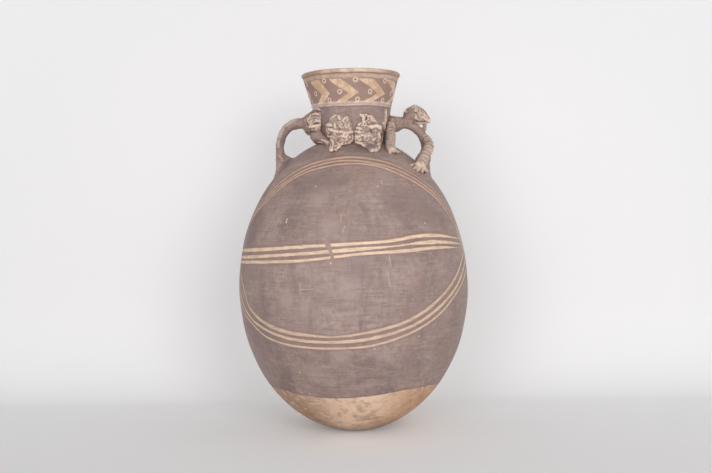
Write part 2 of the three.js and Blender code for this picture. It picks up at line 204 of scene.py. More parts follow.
def mesh_from(name, points_mm, faces, attributes=None):
    """A smooth-shaded object from points in mm and a list of face arrays, with values kept at its points."""
    mesh = bpy.data.meshes.new(name)
    faces = [np.asarray(f, np.int32) for f in faces]
    corners = np.concatenate([f.ravel() for f in faces])
    sizes = np.concatenate([np.full(len(f), f.shape[1], np.int32) for f in faces])
    starts = np.concatenate([[0], np.cumsum(sizes)[:-1]]).astype(np.int32)
    mesh.vertices.add(len(points_mm))
    mesh.vertices.foreach_set("co", (np.asarray(points_mm) * MM).astype(np.float32).ravel())
    mesh.loops.add(len(corners))
    mesh.loops.foreach_set("vertex_index", corners)
    mesh.polygons.add(len(sizes))
    mesh.polygons.foreach_set("loop_start", starts)
    mesh.polygons.foreach_set("use_smooth", np.ones(len(sizes), bool))
    mesh.update(calc_edges=True)
    mesh.validate()
    for label, values in (attributes or {}).items():
        values = np.asarray(values, np.float32)
        kind, field = ("FLOAT", "value") if values.ndim == 1 else ("FLOAT_VECTOR", "vector")
        mesh.attributes.new(label, kind, "POINT").data.foreach_set(field, values.ravel())
    piece = bpy.data.objects.new(name, mesh)
    bpy.context.scene.collection.objects.link(piece)
    return piece


turns = np.arange(COLUMNS) * 2 * math.pi / COLUMNS - math.pi
rows_r, rows_z = outline.T
sway = unevenness(turns[None, :], rows_z[:, None]) * freedom(rows_r[:, None])
ring_r = rows_r[:, None] + sway
ring_turn = np.broadcast_to(turns, ring_r.shape)
ring_z = np.broadcast_to(rows_z[:, None], ring_r.shape)
wall_points = np.stack([ring_r * np.sin(ring_turn), -ring_r * np.cos(ring_turn), ring_z], -1).reshape(-1, 3)
under, floor_middle = len(wall_points), len(wall_points) + 1
wall_points = np.vstack([wall_points, [(0, 0, 0), (0, 0, FLOOR)]])
row, column = np.meshgrid(np.arange(len(outline) - 1), np.arange(COLUMNS), indexing="ij")
here = row * COLUMNS + column
beside = row * COLUMNS + (column + 1) % COLUMNS
sides = np.stack([here, beside, beside + COLUMNS, here + COLUMNS], -1).reshape(-1, 4)
first = np.arange(COLUMNS)
last = first + (len(outline) - 1) * COLUMNS
foot_fan = np.stack([np.full(COLUMNS, under), (first + 1) % COLUMNS, first], -1)
floor_fan = np.stack([np.full(COLUMNS, floor_middle), last, np.roll(last, -1)], -1)
print("wall points:", len(wall_points))

# %% [markdown]
# The painted lines were drawn with a soft brush in sets of three: an arc over the shoulder, a band round
# the belly, and an arc below. Each line here is a smooth curve through a few places, given as the turn
# round the jar in degrees from the front and the height in mm. For every point of the wall I keep its
# distance from each line, counted in half brush widths. The material then draws a line wherever that
# number is below one, so the edges stay crisp and can be worn away by noise.

# %% Curves of the painted lines


def curve_through(places):
    """A smooth curve through (place, value) pairs, level beyond its ends."""
    x, y = np.array(places, float).T
    slope = np.gradient(y, x)

    def value(at):
        at = np.clip(at, x[0], x[-1])
        i = np.clip(np.searchsorted(x, at) - 1, 0, len(x) - 2)
        span = x[i + 1] - x[i]
        t = (at - x[i]) / span
        near = (1 + 2 * t) * (1 - t) ** 2 * y[i] + t * (1 - t) ** 2 * span * slope[i]
        far = t * t * (3 - 2 * t) * y[i + 1] - t * t * (1 - t) * span * slope[i + 1]
        return near + far

    return value


SHOULDER_ARC = [
    [
        (-90, 240), (-76, 262), (-63, 283.5), (-51, 302), (-42, 310.2), (-33, 315.2), (-20, 319),
        (0, 321.4), (18, 318.8), (35, 312.2), (50, 300), (64, 281), (78, 252), (90, 227),
    ],
    [
        (-90, 235), (-75, 257), (-61, 280.5), (-47, 299.4), (-38, 307.4), (-22, 314.8), (0, 317.4),
        (17, 314.2), (35, 306.6), (50, 293), (65, 271.5), (78, 244), (90, 221),
    ],
    [
        (-90, 230), (-80, 246), (-70, 261), (-58, 279), (-46, 296.3), (-36, 304.4), (-23, 310), (0, 313.9),
        (12, 312.8), (24, 308.8), (36, 300.8), (50, 287), (62, 269), (70, 249), (80, 231), (90, 216),
    ],
]
BELLY_BAND = [
    [
        (-90, 214.5), (-73, 216.4), (-45, 220), (-22, 223.6), (0, 226.1), (20, 228.9), (33, 232.5),
        (46, 232.8), (63, 229), (90, 222),
    ],
    [
        (-90, 206), (-74, 208.2), (-45, 212.4), (-22, 216.1), (0, 220), (20, 222.8), (34, 225.2),
        (44, 225.6), (66, 222), (90, 216),
    ],
    [
        (-90, 201), (-74, 202.8), (-45, 205.9), (-22, 208.8), (-8, 212.6), (4, 215.3), (25, 217.3),
        (42, 219.2), (66, 217), (90, 211),
    ],
]
LOWER_ARC = [
    [
        (-90, 214), (-76, 190), (-67, 172), (-62, 156), (-56, 147), (-44, 135.4), (-33, 130), (-20, 127.6),
        (-11, 126.4), (0, 128.6), (12, 133.4), (24, 140.2), (36, 152), (48, 168), (60, 186.6), (72, 205),
        (90, 219),
    ],
    [
        (-90, 204), (-78, 174), (-70, 155), (-60, 140.8), (-48, 130.6), (-34, 123.4), (-20, 120.8),
        (-8, 120.8), (4, 123), (16, 127.8), (30, 137.2), (44, 152.8), (58, 172), (72, 193), (90, 212),
    ],
    [
        (-90, 190), (-80, 162), (-70, 144.6), (-60, 134.8), (-48, 122), (-36, 116.3), (-20, 113.8),
        (-4, 114), (8, 116.2), (20, 122.4), (34, 133.6), (46, 147), (58, 164.8), (72, 184), (90, 206),
    ],
]
SHOULDER_BRUSH = [
    [(-72, 0.9), (-60, 1.25), (38, 1.25), (52, 0.8)],
    [(-90, 1.0), (-50, 1.3), (90, 1.3)],
    [(-90, 1.2), (0, 1.4), (90, 1.6)],
]
BELLY_BRUSH = [
    [(-90, 0.6), (-80, 1.5), (-30, 1.8), (10, 1.6), (54, 1.6), (66, 0.7), (74, 0.15)],
    [
        (-90, 0.6), (-80, 1.3), (-20, 1.7), (2, 2.0), (12, 1.3), (27, 1.0), (34, 1.8), (58, 1.6), (72, 0.5),
        (80, 0.15),
    ],
    [(-90, 0.5), (-82, 1.1), (-10, 1.4), (4, 1.5), (52, 1.4), (64, 0.6), (72, 0.15)],
]
LOWER_BRUSH = [
    [(-90, 1.3), (-60, 1.6), (-40, 2.1), (-26, 1.8), (-12, 1.1), (6, 1.5), (90, 1.8)],
    [(-90, 1.4), (-20, 1.7), (90, 1.8)],
    [(-90, 1.1), (0, 1.3), (90, 1.4)],
]


def fold_to_front(turn):
    """The back of the jar is painted like its front, seen from behind: turns beyond a side fold back."""
    turn = np.where(turn > 90, 180 - turn, turn)
    return np.where(turn < -90, -180 - turn, turn)


turn_deg = fold_to_front(np.degrees(ring_turn[: len(outer)]))
outer_z = ring_z[: len(outer)]
rise = np.gradient(rows_z[: len(outer)])
climb = rise / np.hypot(np.gradient(rows_r[: len(outer)]), rise)
FAR = 9.0


def line_distance(line, brush):
    """Signed distance of every outer wall point from a painted line, in half brush widths."""
    height = curve_through(line)
    per_degree = (height(turn_deg + 0.5) - height(turn_deg - 0.5)) / (ring_r[: len(outer)] * math.radians(1))
    distance = (outer_z - height(turn_deg)) / np.hypot(climb[:, None], per_degree)
    return np.clip(distance / curve_through(brush)(turn_deg), -FAR, FAR)


def for_whole_wall(columns):
    """Values known on the outer rows, filled up with FAR for the lip, the inside and the two middles."""
    values = np.full((len(wall_points), len(columns)), FAR, np.float32)
    values[: len(outer) * COLUMNS] = np.stack([c.ravel() for c in columns], -1)
    return values


arcs = {
    "shoulder_arc": (SHOULDER_ARC, SHOULDER_BRUSH),
    "belly_band": (BELLY_BAND, BELLY_BRUSH),
    "lower_arc": (LOWER_ARC, LOWER_BRUSH),
}
painted = {
    name: for_whole_wall([line_distance(line, brush) for line, brush in zip(lines, brushes)])
    for name, (lines, brushes) in arcs.items()
}
print("painted sets:", ", ".join(painted))

# %% [markdown]
# Three more values are kept the same way: how far a spot lies below the ragged edge where the slip ends
# and the bare clay of the base begins, its turn round the jar, and whether it is on the outside.

# %% Where the slip ends
BARE_EDGE = [
    (-180, 58), (-120, 57), (-72, 58.4), (-50, 57.8), (-37, 55.9), (-23, 54.3), (-8, 54.3), (3, 55.6),
    (15, 57.7), (28, 60.4), (44, 61), (78, 57), (120, 59), (150, 56.5), (180, 58),
]

bare_depth = curve_through(BARE_EDGE)(np.degrees(ring_turn[: len(outer)])) - outer_z
marks_kept = np.zeros((len(wall_points), 3), np.float32)
marks_kept[: ring_turn.size, 1] = fold_to_front(np.degrees(ring_turn)).ravel()
marks_kept[: len(outer) * COLUMNS, 0] = bare_depth.ravel()
marks_kept[len(outer) * COLUMNS :, 0] = -FAR
marks_kept[: (len(outer) + len(lip)) * COLUMNS, 2] = 1
marks_kept[len(wall_points) - 2] = (FLOOR + 50, 0, 1)
painted["marks"] = marks_kept
jar_wall = mesh_from("jar_wall", wall_points, [sides, foot_fan, floor_fan], painted)
print("jar wall faces:", len(jar_wall.data.polygons))

# %% [markdown]
# The clay animals are not boxes and tubes: they are soft lumps, coils and pinches that run into each
# other. So they are modelled as a potter models them, one press after another, in a block of space
# where every grid point knows its distance to the clay. Pressing on a form is a soft minimum, and
# pushing in a tool is a soft maximum. At the end one skin is drawn through all points of distance zero.

# %% Places seen from the front
FRONT_EYE = np.array(CAMERA_PLACE) / MM


def along_sight(place, depth):
    """The point at y = depth that a place (x, z) of the front drawing covers, in mm."""
    x, z = place
    share = (depth - FRONT_EYE[1]) / -FRONT_EYE[1]
    return FRONT_EYE + np.array([x - FRONT_EYE[0], -FRONT_EYE[1], z - FRONT_EYE[2]]) * share


def on_neck(turn, height, reach):
    """A point by its turn round the jar in degrees, height above the neck's foot and reach from the neck."""
    a = math.radians(turn)
    radius = NECK_RADIUS + reach
    return np.array([radius * math.sin(a), -radius * math.cos(a), NECK_FOOT + height])


def inside_value(outline, x, z):
    """Signed distance of drawing places from a closed outline, negative inside."""
    nearest = np.full(np.broadcast(x, z).shape, 1e9)
    inside = np.zeros(nearest.shape, bool)
    for (ax, az), (bx, bz) in zip(outline, outline[1:] + outline[:1]):
        along = ((x - ax) * (bx - ax) + (z - az) * (bz - az)) / ((bx - ax) ** 2 + (bz - az) ** 2)
        share = np.clip(along, 0, 1)
        nearest = np.minimum(nearest, np.hypot(x - ax - share * (bx - ax), z - az - share * (bz - az)))
        inside ^= ((az > z) != (bz > z)) & (x < (bx - ax) * (z - az) / (bz - az + 1e-9) + ax)
    return np.where(inside, -nearest, nearest)


print("the eye stands", round(-FRONT_EYE[1]), "mm in front of the jar's axis")

# %% [markdown]
# A block of clay is a grid that remembers how far each of its points is from the clay pressed on so far.
# Small details are laid from the front: a place of the drawing is followed along the line of sight to
# where it meets the clay, and the roll or the tool is set down there.

# %% A block of soft clay
# In mm: how far a piece's skin dips under the wall's, how deep its clay goes on inside the wall, the
# distance that empty space starts with, and how softly a pressed edge, a tool's edge and the joint of a
# rooted handle are rounded.
SUNK = 0.15
ROOT = 1.5
OPEN = 20.0
PRESS = 1.6
TOOL_EDGE = 0.4
ROOTED_JOIN = 8.0
# Also in mm: the room kept round a pressed shape, how near new clay has to be to change the paint, and
# the step along a line of sight.
MARGIN = 1.5
PAINT_REACH = 0.2
SIGHT_STEP = 0.25
CORNERS = np.array([(i, j, k) for i in (0, 1) for j in (0, 1) for k in (0, 1)])


class Clay:
    """Grid of distances to the clay that has been pressed on so far, in a box given in mm."""

    def __init__(self, low, high, step):
        self.step = step
        self.axes = [np.arange(a, b + step, step, dtype=np.float32) for a, b in zip(low, high)]
        shape = [len(a) for a in self.axes]
        self.form = np.full(shape, OPEN, np.float32)
        self.rooted = np.full(shape, OPEN, np.float32)
        self.paint = np.zeros(shape, np.float32)

    def window(self, low, high):
        """The part of the grid inside a box, and its x, y and z."""
        ends = [np.searchsorted(axis, pair) for axis, pair in zip(self.axes, zip(low, high))]
        cut = [slice(int(start), int(stop)) for start, stop in ends]
        x, y, z = (axis[part] for axis, part in zip(self.axes, cut))
        return tuple(cut), x[:, None, None], y[None, :, None], z[None, None, :]

    def press(self, shapes, blend=1.0, paint=0.0, root=0.0):
        """Presses a run of (low, high, distance) shapes on as one form. root softens it into the wall."""
        low = np.min([s[0] for s in shapes], axis=0)
        high = np.max([s[1] for s in shapes], axis=0)
        reach = max(blend, root) + MARGIN
        cut = self.window(low - reach, high + reach)[0]
        added = np.full(self.form[cut].shape, OPEN, np.float32)
        for shape_low, shape_high, distance in shapes:
            part, px, py, pz = self.window(shape_low - reach, shape_high + reach)
            local = tuple(slice(p.start - c.start, p.stop - c.start) for p, c in zip(part, cut))
            added[local] = np.minimum(added[local], distance(px, py, pz))
        self.paint[cut] = np.where(added < self.form[cut] + PAINT_REACH, paint, self.paint[cut])
        self.form[cut] = soft_min(self.form[cut], added, blend)
        if root:
            self.rooted[cut] = np.minimum(self.rooted[cut], added)

    def carve(self, shapes, blend):
        """Pushes a tool of the given shapes into the clay."""
        for low, high, distance in shapes:
            cut, x, y, z = self.window(low - blend - 1, high + blend + 1)
            self.form[cut] = -soft_min(-self.form[cut], distance(x, y, z), blend)

    def sampled(self, grid, points):
        """The grid's value at points, mixed from the eight grid points round each."""
        at = (points - [axis[0] for axis in self.axes]) / self.step
        cell = np.clip(np.floor(at).astype(int), 0, np.array(grid.shape) - 2)
        part = np.clip(at - cell, 0, 1)
        total = 0.0
        for corner in CORNERS:
            weight = np.prod(np.where(corner, part, 1 - part), axis=1)
            total = total + weight * grid[tuple((cell + corner).T)]
        return total

    def keep_ground(self):
        """Remembers the clay as it is now, as the ground that details are laid on."""
        self.ground = self.form.copy()

    def on_ground(self, place, sink=0.0):
        """Where a place of the front drawing meets the ground, pushed in by sink."""
        depths = np.arange(self.axes[1][0], self.axes[1][-1], SIGHT_STEP)
        line = np.array([along_sight(place, depth) for depth in depths])
        gap = np.minimum(self.sampled(self.ground, line), wall_gap(*line.T))
        hit = int(np.argmax(gap < 0)) if (gap < 0).any() else int(np.argmin(gap))
        return along_sight(place, depths[hit] + sink)

    def lay(self, places, thickness, paint=0.0, sink=0.35, blend=0.6, both_sides=False):
        """Lays a roll on the ground where the drawing has it, on the far side too if asked."""
        mean = float(np.mean(thickness))
        route = np.array([self.on_ground(place, sink * mean) for place in places])
        for side in (1, -1) if both_sides else (1,):
            self.press(rolled(route * [1, side, 1], thickness), blend, paint)

    def dent(self, places, radius, sink=0.0, both_sides=False):
        """Draws a tool of the given radius over the ground, along places of the drawing."""
        route = np.array([self.on_ground(place, sink) for place in places])
        for side in (1, -1) if both_sides else (1,):
            self.carve(rolled(route * [1, side, 1], radius), TOOL_EDGE)


print("a block of clay holds", len(CORNERS), "grid points round each cell")

# %% [markdown]
# These are the shapes that a potter's hands make: a ball, a coil rolled on the table, and a slab cut to
# an outline. Each says how far any point in space is from its surface, and the box it needs. A coil may
# be wound with thinner ones, which gives the animals their ribbed legs. Crumble scatters the small
# scraps of clay and pits that hurried work leaves behind.

# %% Balls, coils and slabs


def ball(place, size):
    """An ellipsoid: size is its half-widths across, outwards from the jar and up."""
    place = np.array(place, float)
    turn = math.atan2(place[0], -place[1])
    out = np.array([math.sin(turn), -math.cos(turn), 0])
    across = np.array([math.cos(turn), math.sin(turn), 0])
    axes = [across, out, np.array([0, 0, 1.0])]

    def distance(x, y, z):
        local = [(x - place[0]) * a[0] + (y - place[1]) * a[1] + (z - place[2]) * a[2] for a in axes]
        k0 = np.sqrt(sum((v / r) ** 2 for v, r in zip(local, size))) + 1e-6
        k1 = np.sqrt(sum((v / r**2) ** 2 for v, r in zip(local, size))) + 1e-9
        return k0 * (k0 - 1) / k1

    reach = max(size)
    return [(place - reach, place + reach, distance)]


def smooth_route(places, spacing):
    """Points about spacing apart on a smooth curve through the places, and how far along it each one is."""
    places = np.array(places, float)
    steps = np.concatenate([[0], np.cumsum(np.linalg.norm(np.diff(places, axis=0), axis=1))])
    count = max(2, int(steps[-1] / spacing) + 1)
    at = np.linspace(0, steps[-1], count)
    curves = [curve_through(np.stack([steps, places[:, i]], -1)) for i in range(3)]
    return np.stack([c(at) for c in curves], -1), at


RIB_ROUNDNESS = 1.1
RIB_LEVEL = 0.6


def coil(places, thickness, ribs=0.0, rib_depth=0.0):
    """A roll of clay along a smooth route. thickness is one radius or one for each place; ribs is the
    distance between wound rings in mm, which swell it by rib_depth."""
    points, at = smooth_route(places, 0.5 if ribs else 1.0)
    stations = np.linspace(0, at[-1], len(np.atleast_1d(thickness))) if np.ndim(thickness) else [0, 1]
    radii = np.interp(at, stations, thickness if np.ndim(thickness) else [thickness] * 2)
    if ribs:
        radii = radii + rib_depth * (np.abs(np.sin(np.pi * at / ribs)) ** RIB_ROUNDNESS - RIB_LEVEL)
    shapes = []
    for a, b, ra, rb in zip(points, points[1:], radii, radii[1:]):

        def distance(x, y, z, a=a, run=b - a, ra=ra, rb=rb):
            length = float(run @ run) + 1e-9
            share = np.clip(((x - a[0]) * run[0] + (y - a[1]) * run[1] + (z - a[2]) * run[2]) / length, 0, 1)
            away = [v - start - share * part for v, start, part in zip((x, y, z), a, run)]
            return np.sqrt(away[0] ** 2 + away[1] ** 2 + away[2] ** 2) - (ra + (rb - ra) * share)

        reach = max(ra, rb)
        shapes.append((np.minimum(a, b) - reach, np.maximum(a, b) + reach, distance))
    return shapes


def rolled(route, thickness):
    """A coil along a route, or a ball where the route is a single point."""
    if len(route) > 1:
        return coil(route, thickness)
    return ball(route[0], (float(np.mean(thickness)),) * 3)


def ring_of(centre, radius):
    """Places of the drawing on a small circle, for a coil that closes on itself."""
    around = np.linspace(0, 2 * math.pi, 13)
    return [(centre[0] + radius * math.cos(a), centre[1] + radius * math.sin(a)) for a in around]


FINE = 0.1
SLAB_EDGE = 5.0


def slab(outline, thickness, low, high, both_sides=False):
    """A rolled-out piece of clay, cut to an outline of the drawing and laid on the jar's skin."""
    places = np.array(outline)
    start = places.min(0) - 8
    count = np.ceil((places.max(0) + 8 - start) / FINE).astype(int)
    x_line = start[0] + FINE * np.arange(count[0])
    z_line = start[1] + FINE * np.arange(count[1])
    table = inside_value(outline, x_line[:, None], z_line[None, :]).astype(np.float32)

    def distance(x, y, z):
        y = -np.abs(y) if both_sides else y
        share = FRONT_EYE[1] / (FRONT_EYE[1] - y)
        drawn_x = FRONT_EYE[0] + (x - FRONT_EYE[0]) * share
        drawn_z = FRONT_EYE[2] + (z - FRONT_EYE[2]) * share
        column = np.clip(np.rint((drawn_x - start[0]) / FINE), 0, count[0] - 1).astype(int)
        row = np.clip(np.rint((drawn_z - start[1]) / FINE), 0, count[1] - 1).astype(int)
        return -soft_min(-table[column, row], thickness - wall_gap(x, y, z), SLAB_EDGE)

    return [(np.array(low, float), np.array(high, float), distance)]


def crumble(clay, outline, count, seed):
    """Small scraps and tool pits scattered on the ground inside an outline, the same ones every time."""
    chance = np.random.default_rng(seed)
    low, high = np.min(outline, axis=0), np.max(outline, axis=0)
    for i in range(count):
        place = low + (high - low) * chance.random(2)
        size = 0.7 + 0.7 * chance.random()
        slant = math.pi * chance.random()
        shade = chance.random()
        if float(inside_value(outline, place[0], place[1])) > -1.6:
            continue
        step = 1.5 * size * np.array([math.cos(slant), math.sin(slant)])
        if i % 5:
            clay.lay([tuple(place - step), tuple(place + step)], size, paint=shade, sink=0.55)
        else:
            clay.dent([tuple(place)], size * 0.9, sink=-0.4)


print("clay tools: ball, coil, slab, crumble")

# %% [markdown]
# The skin is drawn with surface nets: every grid cell that the surface passes through gets one point,
# the mean of its crossings with the cell's edges, and cells that share a crossed edge are joined by a
# face. A few steps along the distance's slope then slide each point onto the true surface, so no steps
# of the grid are left. Two values are kept at each point. proud is high on ridges and low in creases,
# found by blurring the distances, because wear rubs what stands out; the finish also paints shade into
# the low creases by it. paint is high on forms that still carry pale slip, and below nought on the one
# lump whose near-black colour is a painted shadow.

# %% Draw the skin of the clay
EDGES = [(a, b) for a in range(8) for b in range(a + 1, 8) if np.abs(CORNERS[a] - CORNERS[b]).sum() == 1]


def blurred(field, cells):
    """Mean of the field over a box of grid points on each side."""
    for axis in range(3):
        before, after = np.take(field, [0] * (cells + 1), axis), np.take(field, [-1] * cells, axis)
        padded = np.concatenate([before, field, after], axis)
        total = np.cumsum(padded, axis, dtype=np.float64)
        width = 2 * cells + 1
        high = np.take(total, range(width, total.shape[axis]), axis)
        low = np.take(total, range(0, total.shape[axis] - width), axis)
        field = ((high - low) / width).astype(np.float32)
    return field


LEAST_STEEPNESS = 0.2


def slide_to_zero(clay, field, points):
    """Moves points along the field's slope onto its zero surface."""
    reach = 0.5 * clay.step
    for _ in range(3):
        gap = clay.sampled(field, points)
        ahead = [clay.sampled(field, points + reach * axis) for axis in np.eye(3)]
        behind = [clay.sampled(field, points - reach * axis) for axis in np.eye(3)]
        slope = (np.stack(ahead, -1) - np.stack(behind, -1)) / (2 * reach)
        steepness = np.maximum((slope**2).sum(1), LEAST_STEEPNESS)
        move = -(gap / steepness)[:, None] * slope
        points = points + np.clip(move, -0.5 * clay.step, 0.5 * clay.step)
    return points, slope / np.sqrt(steepness)[:, None]


FINGER_WAVES = [
    ((0.52, 0.31, 0.38), 0.1), ((-0.35, 0.56, 0.42), 0.1), ((0.27, -0.48, 0.64), 0.08),
    ((1.25, 0.84, -0.7), 0.06), ((-0.9, 1.2, 0.8), 0.06), ((1.9, -1.3, 1.1), 0.06), ((1.1, 1.7, 2.0), 0.05),
    ((-2.3, 0.8, 1.6), 0.05),
]


def finger_lumps(points):
    """Small unevenness in mm, left by fingers and a wet rag. It fades out where the clay meets the wall."""
    height = 0.0
    for i, (wave, size) in enumerate(FINGER_WAVES):
        height = height + size * np.sin(points @ np.array(wave) + 5 * i)
    return height * np.clip((wall_gap(*points.T) - 0.4) / 1.2, 0, 1)


def points_in_cells(clay, field, cells):
    """One point for each cell: the mean of the places where the surface crosses the cell's edges."""
    values = np.stack([field[tuple((cells + c).T)] for c in CORNERS], -1)
    place = np.zeros((len(cells), 3))
    crossings = np.zeros(len(cells))
    for a, b in EDGES:
        va, vb = values[:, a], values[:, b]
        crossed = (va < 0) != (vb < 0)
        t = np.where(crossed, va / np.where(crossed, va - vb, 1), 0)
        place += crossed[:, None] * (CORNERS[a] + t[:, None] * (CORNERS[b] - CORNERS[a]))
        crossings += crossed
    return (cells + place / crossings[:, None]) * clay.step + [axis[0] for axis in clay.axes]


def quads_between(inside, number):
    """A face for each grid edge that the surface crosses, joining the points of the four cells round it."""
    quads = []
    shifts = np.eye(3, dtype=int)
    for axis in range(3):
        u, v = (axis + 1) % 3, (axis + 2) % 3
        low = [slice(1, -1)] * 3
        low[axis] = slice(0, -1)
        high = list(low)
        high[axis] = slice(1, None)
        start, end = inside[tuple(low)], inside[tuple(high)]
        for enters in (True, False):
            at = np.argwhere((start == enters) & (end != enters)) + shifts[u] + shifts[v]
            ring = [at - shifts[u] - shifts[v], at - shifts[v], at, at - shifts[u]]
            quad = np.stack([number[tuple(r.T)] for r in ring], -1)
            quads.append(quad if enters else quad[:, ::-1])
    quads = np.concatenate(quads)
    return quads[(quads >= 0).all(1)]


def skin_of(clay, name):
    """Joins the clay to the wall, cuts it off inside the wall, and draws one skin round it."""
    x, y, z = clay.axes[0][:, None, None], clay.axes[1][None, :, None], clay.axes[2][None, None, :]
    wall = wall_gap(x, y, z).astype(np.float32) + SUNK
    body = soft_min(clay.form, wall, PRESS)
    body = np.minimum(body, soft_min(clay.rooted, wall, ROOTED_JOIN))
    proud = 0.0
    for weight, reach, depth in ((1.0, 1.4, 3), (0.5, 2.8, 5)):
        proud = proud + weight * blurred(np.clip(body, -depth, depth), round(reach / clay.step))
    near = np.minimum(clay.form - PRESS, clay.rooted - ROOTED_JOIN)
    field = np.maximum(np.maximum(body, -(wall + ROOT)), near)
    inside = field < 0
    shape = np.array(field.shape) - 1
    filled = np.zeros(shape, np.int8)
    for corner in CORNERS:
        filled += inside[tuple(slice(c, c + n) for c, n in zip(corner, shape))]
    cells = np.argwhere((filled > 0) & (filled < len(CORNERS)))
    points, outwards = slide_to_zero(clay, field, points_in_cells(clay, field, cells))
    number = np.full(shape, -1, np.int32)
    number[tuple(cells.T)] = np.arange(len(cells))
    kept = {"proud": clay.sampled(proud, points), "paint": clay.sampled(clay.paint, points)}
    points = points + finger_lumps(points)[:, None] * outwards
    piece = mesh_from(name, points, [quads_between(inside, number)], kept)
    levels = np.round(np.percentile(kept["proud"], [5, 25, 50, 75, 95]), 2)
    print(name, "faces:", len(piece.data.polygons), "proud:", levels)
    return piece


# %% [markdown]
# The animal on the right is the handle: its rump sits on the neck, its back is the arch, its four legs
# are wound with thin coils and stand astride the arch, and its head lies on top, looking out. The whole
# beast is pressed up in one block of clay. Small marks are given as places (x, z) of a drawing of the
# front, and each is laid where that place meets the clay.

# %% The right handle animal
HANDLE_STEP = 0.55
RIGHT_ARCH = [
    (40.5, 0, 361.5), (52, 0, 364.3), (63.5, 0, 364), (72.5, 0, 360.5), (81, 0, 353.5), (86.5, 0, 344.5),
    (89, 0, 334), (87.8, 0, 322), (85, 0, 306),
]
HIND_LEG = [
    (46.5, 4, 366), (46.2, 9.5, 361), (45.8, 17, 353.4), (45.4, 26, 345.4), (44.8, 35, 339),
    (44.6, 42, 334),
]
FORE_LEG = [
    (87, 2, 347), (89.8, 8, 343), (91.2, 15, 337.6), (90.2, 21, 333.2), (87.4, 28, 327), (83.6, 35, 320.8),
    (80, 42, 314),
]
HIND_FOOT = (46.5, -48, 330.4)
FORE_FOOT = (77.5, -47.5, 311.5)
HIND_THICKNESS = [5.2, 4.8, 4.3, 4.0, 3.6]
FORE_THICKNESS = [3.6, 5.0, 4.8, 4.4, 4.0]
HIND_TOES = [
    [(46.2, 333.1), (45.1, 328.2)],
    [(47.5, 333), (50.6, 327.9)],
    [(48.5, 333.7), (52.3, 331), (56.1, 329.8)],
]
FORE_TOES = [
    [(78.9, 315.8), (74.7, 314.5), (71, 313.3)],
    [(80.1, 314.2), (76.5, 311.3), (74.1, 309.5)],
    [(81.3, 313), (78.9, 309.4), (77.2, 307)],
    [(83.7, 312.9), (83.9, 308.1), (83.1, 304.8)],
    [(83.7, 316), (85.6, 312.4), (87, 309.5)],
]
RUMP_PITS = [
    (46.9, 365.2), (50.1, 366.8), (53.6, 366.5), (57.2, 365.3), (48.6, 362.3), (51.9, 363.2), (56.2, 362.2),
    (59.6, 362.6),
]


def right_beast():
    clay = Clay((33, -72, 282), (101, 72, 391), HANDLE_STEP)
    clay.press(coil(RIGHT_ARCH, [7.0, 6.6, 5.9, 5.2, 5.2, 5.6, 6.0, 6.4, 7.5]), root=ROOTED_JOIN)
    clay.press(coil([(37, 0, 367), (46, 0, 366.5), (58, 0, 364)], [7.5, 7.2, 6.4]), blend=3)
    clay.press(ball((50, 0, 362), (10.5, 10.5, 8.8)), blend=3)
    # This lump fills the gap behind the hind leg; its paint of minus one is coloured near-black, a painted
    # shadow for the deep pocket between neck and leg.
    clay.press(ball((42.5, 2, 349), (7, 3.5, 12)), blend=3, paint=-1.0)
    for mirror in (np.array([1, -1, 1]), np.array([1, 1, 1])):
        route = list(mirror * HIND_LEG) + [mirror * HIND_FOOT]
        clay.press(coil(route, HIND_THICKNESS, ribs=5.8, rib_depth=2.8), blend=1.4, paint=0.4)
        route = list(mirror * FORE_LEG) + [mirror * FORE_FOOT]
        clay.press(coil(route, FORE_THICKNESS, ribs=6.0, rib_depth=3.2), blend=2.5, paint=0.5)
        clay.press(ball(mirror * FORE_FOOT, (6.5, 3.6, 5.5)), blend=3, paint=0.5)
    clay.keep_ground()
    for toe in HIND_TOES:
        clay.lay(toe, [2.0, 1.7], paint=0.75, sink=0.5, blend=1.6, both_sides=True)
    for toe in FORE_TOES:
        clay.lay(toe, [2.2, 1.8], paint=0.75, sink=0.7, blend=1.8, both_sides=True)
    for pit in RUMP_PITS:
        clay.dent([pit], 1.0, both_sides=True)
    return clay


FACE_RIDGES = [
    ([(76.6, 381.5), (80.2, 380.9), (83.7, 378.5)], 1.5, 0.4),
    ([(84.4, 377.8), (87.4, 373.7), (90.3, 370.6)], 1.5, 0.8),
    ([(78.8, 376.4), (81.4, 373.3), (84.3, 369.7)], 1.2, 0.6),
    ([(87.1, 370.1), (90.2, 368.2), (93.3, 366.3)], 1.5, 1.0),
    ([(77.8, 369.5), (81.4, 368.3), (85.9, 368), (90.2, 366.8)], 1.2, 0.6),
    ([(78.7, 364.3), (83.5, 364.2), (88.5, 364.6)], 1.2, 0.6),
    ([(76.5, 379.1), (77.6, 375), (76.6, 370.3)], 1.5, 0.7),
    ([(81.5, 378.8), (82.7, 375.7)], 1.3, 0.9),
    ([(86, 370.6), (87.4, 367.8)], 1.3, 0.8),
    ([(73.2, 382.5), (76.3, 383.9), (79.1, 381.9)], 1.3, 0.8),
]
FACE_SHAPE = [(76, 382.9), (83.2, 381.4), (89.8, 374.4), (93.8, 367.2), (87.8, 363.5), (75.9, 366)]
FACE_PITS = [
    (77.7, 379.1), (81, 378.3), (78.6, 374.1), (83.6, 375.4), (85.5, 372.1), (81.4, 370.7), (88.3, 368.7),
    (75.7, 376.7),
]


def in_profile(*places):
    """Places of the drawing, set in the middle plane of the jar."""
    return [along_sight(place, 0) for place in places]


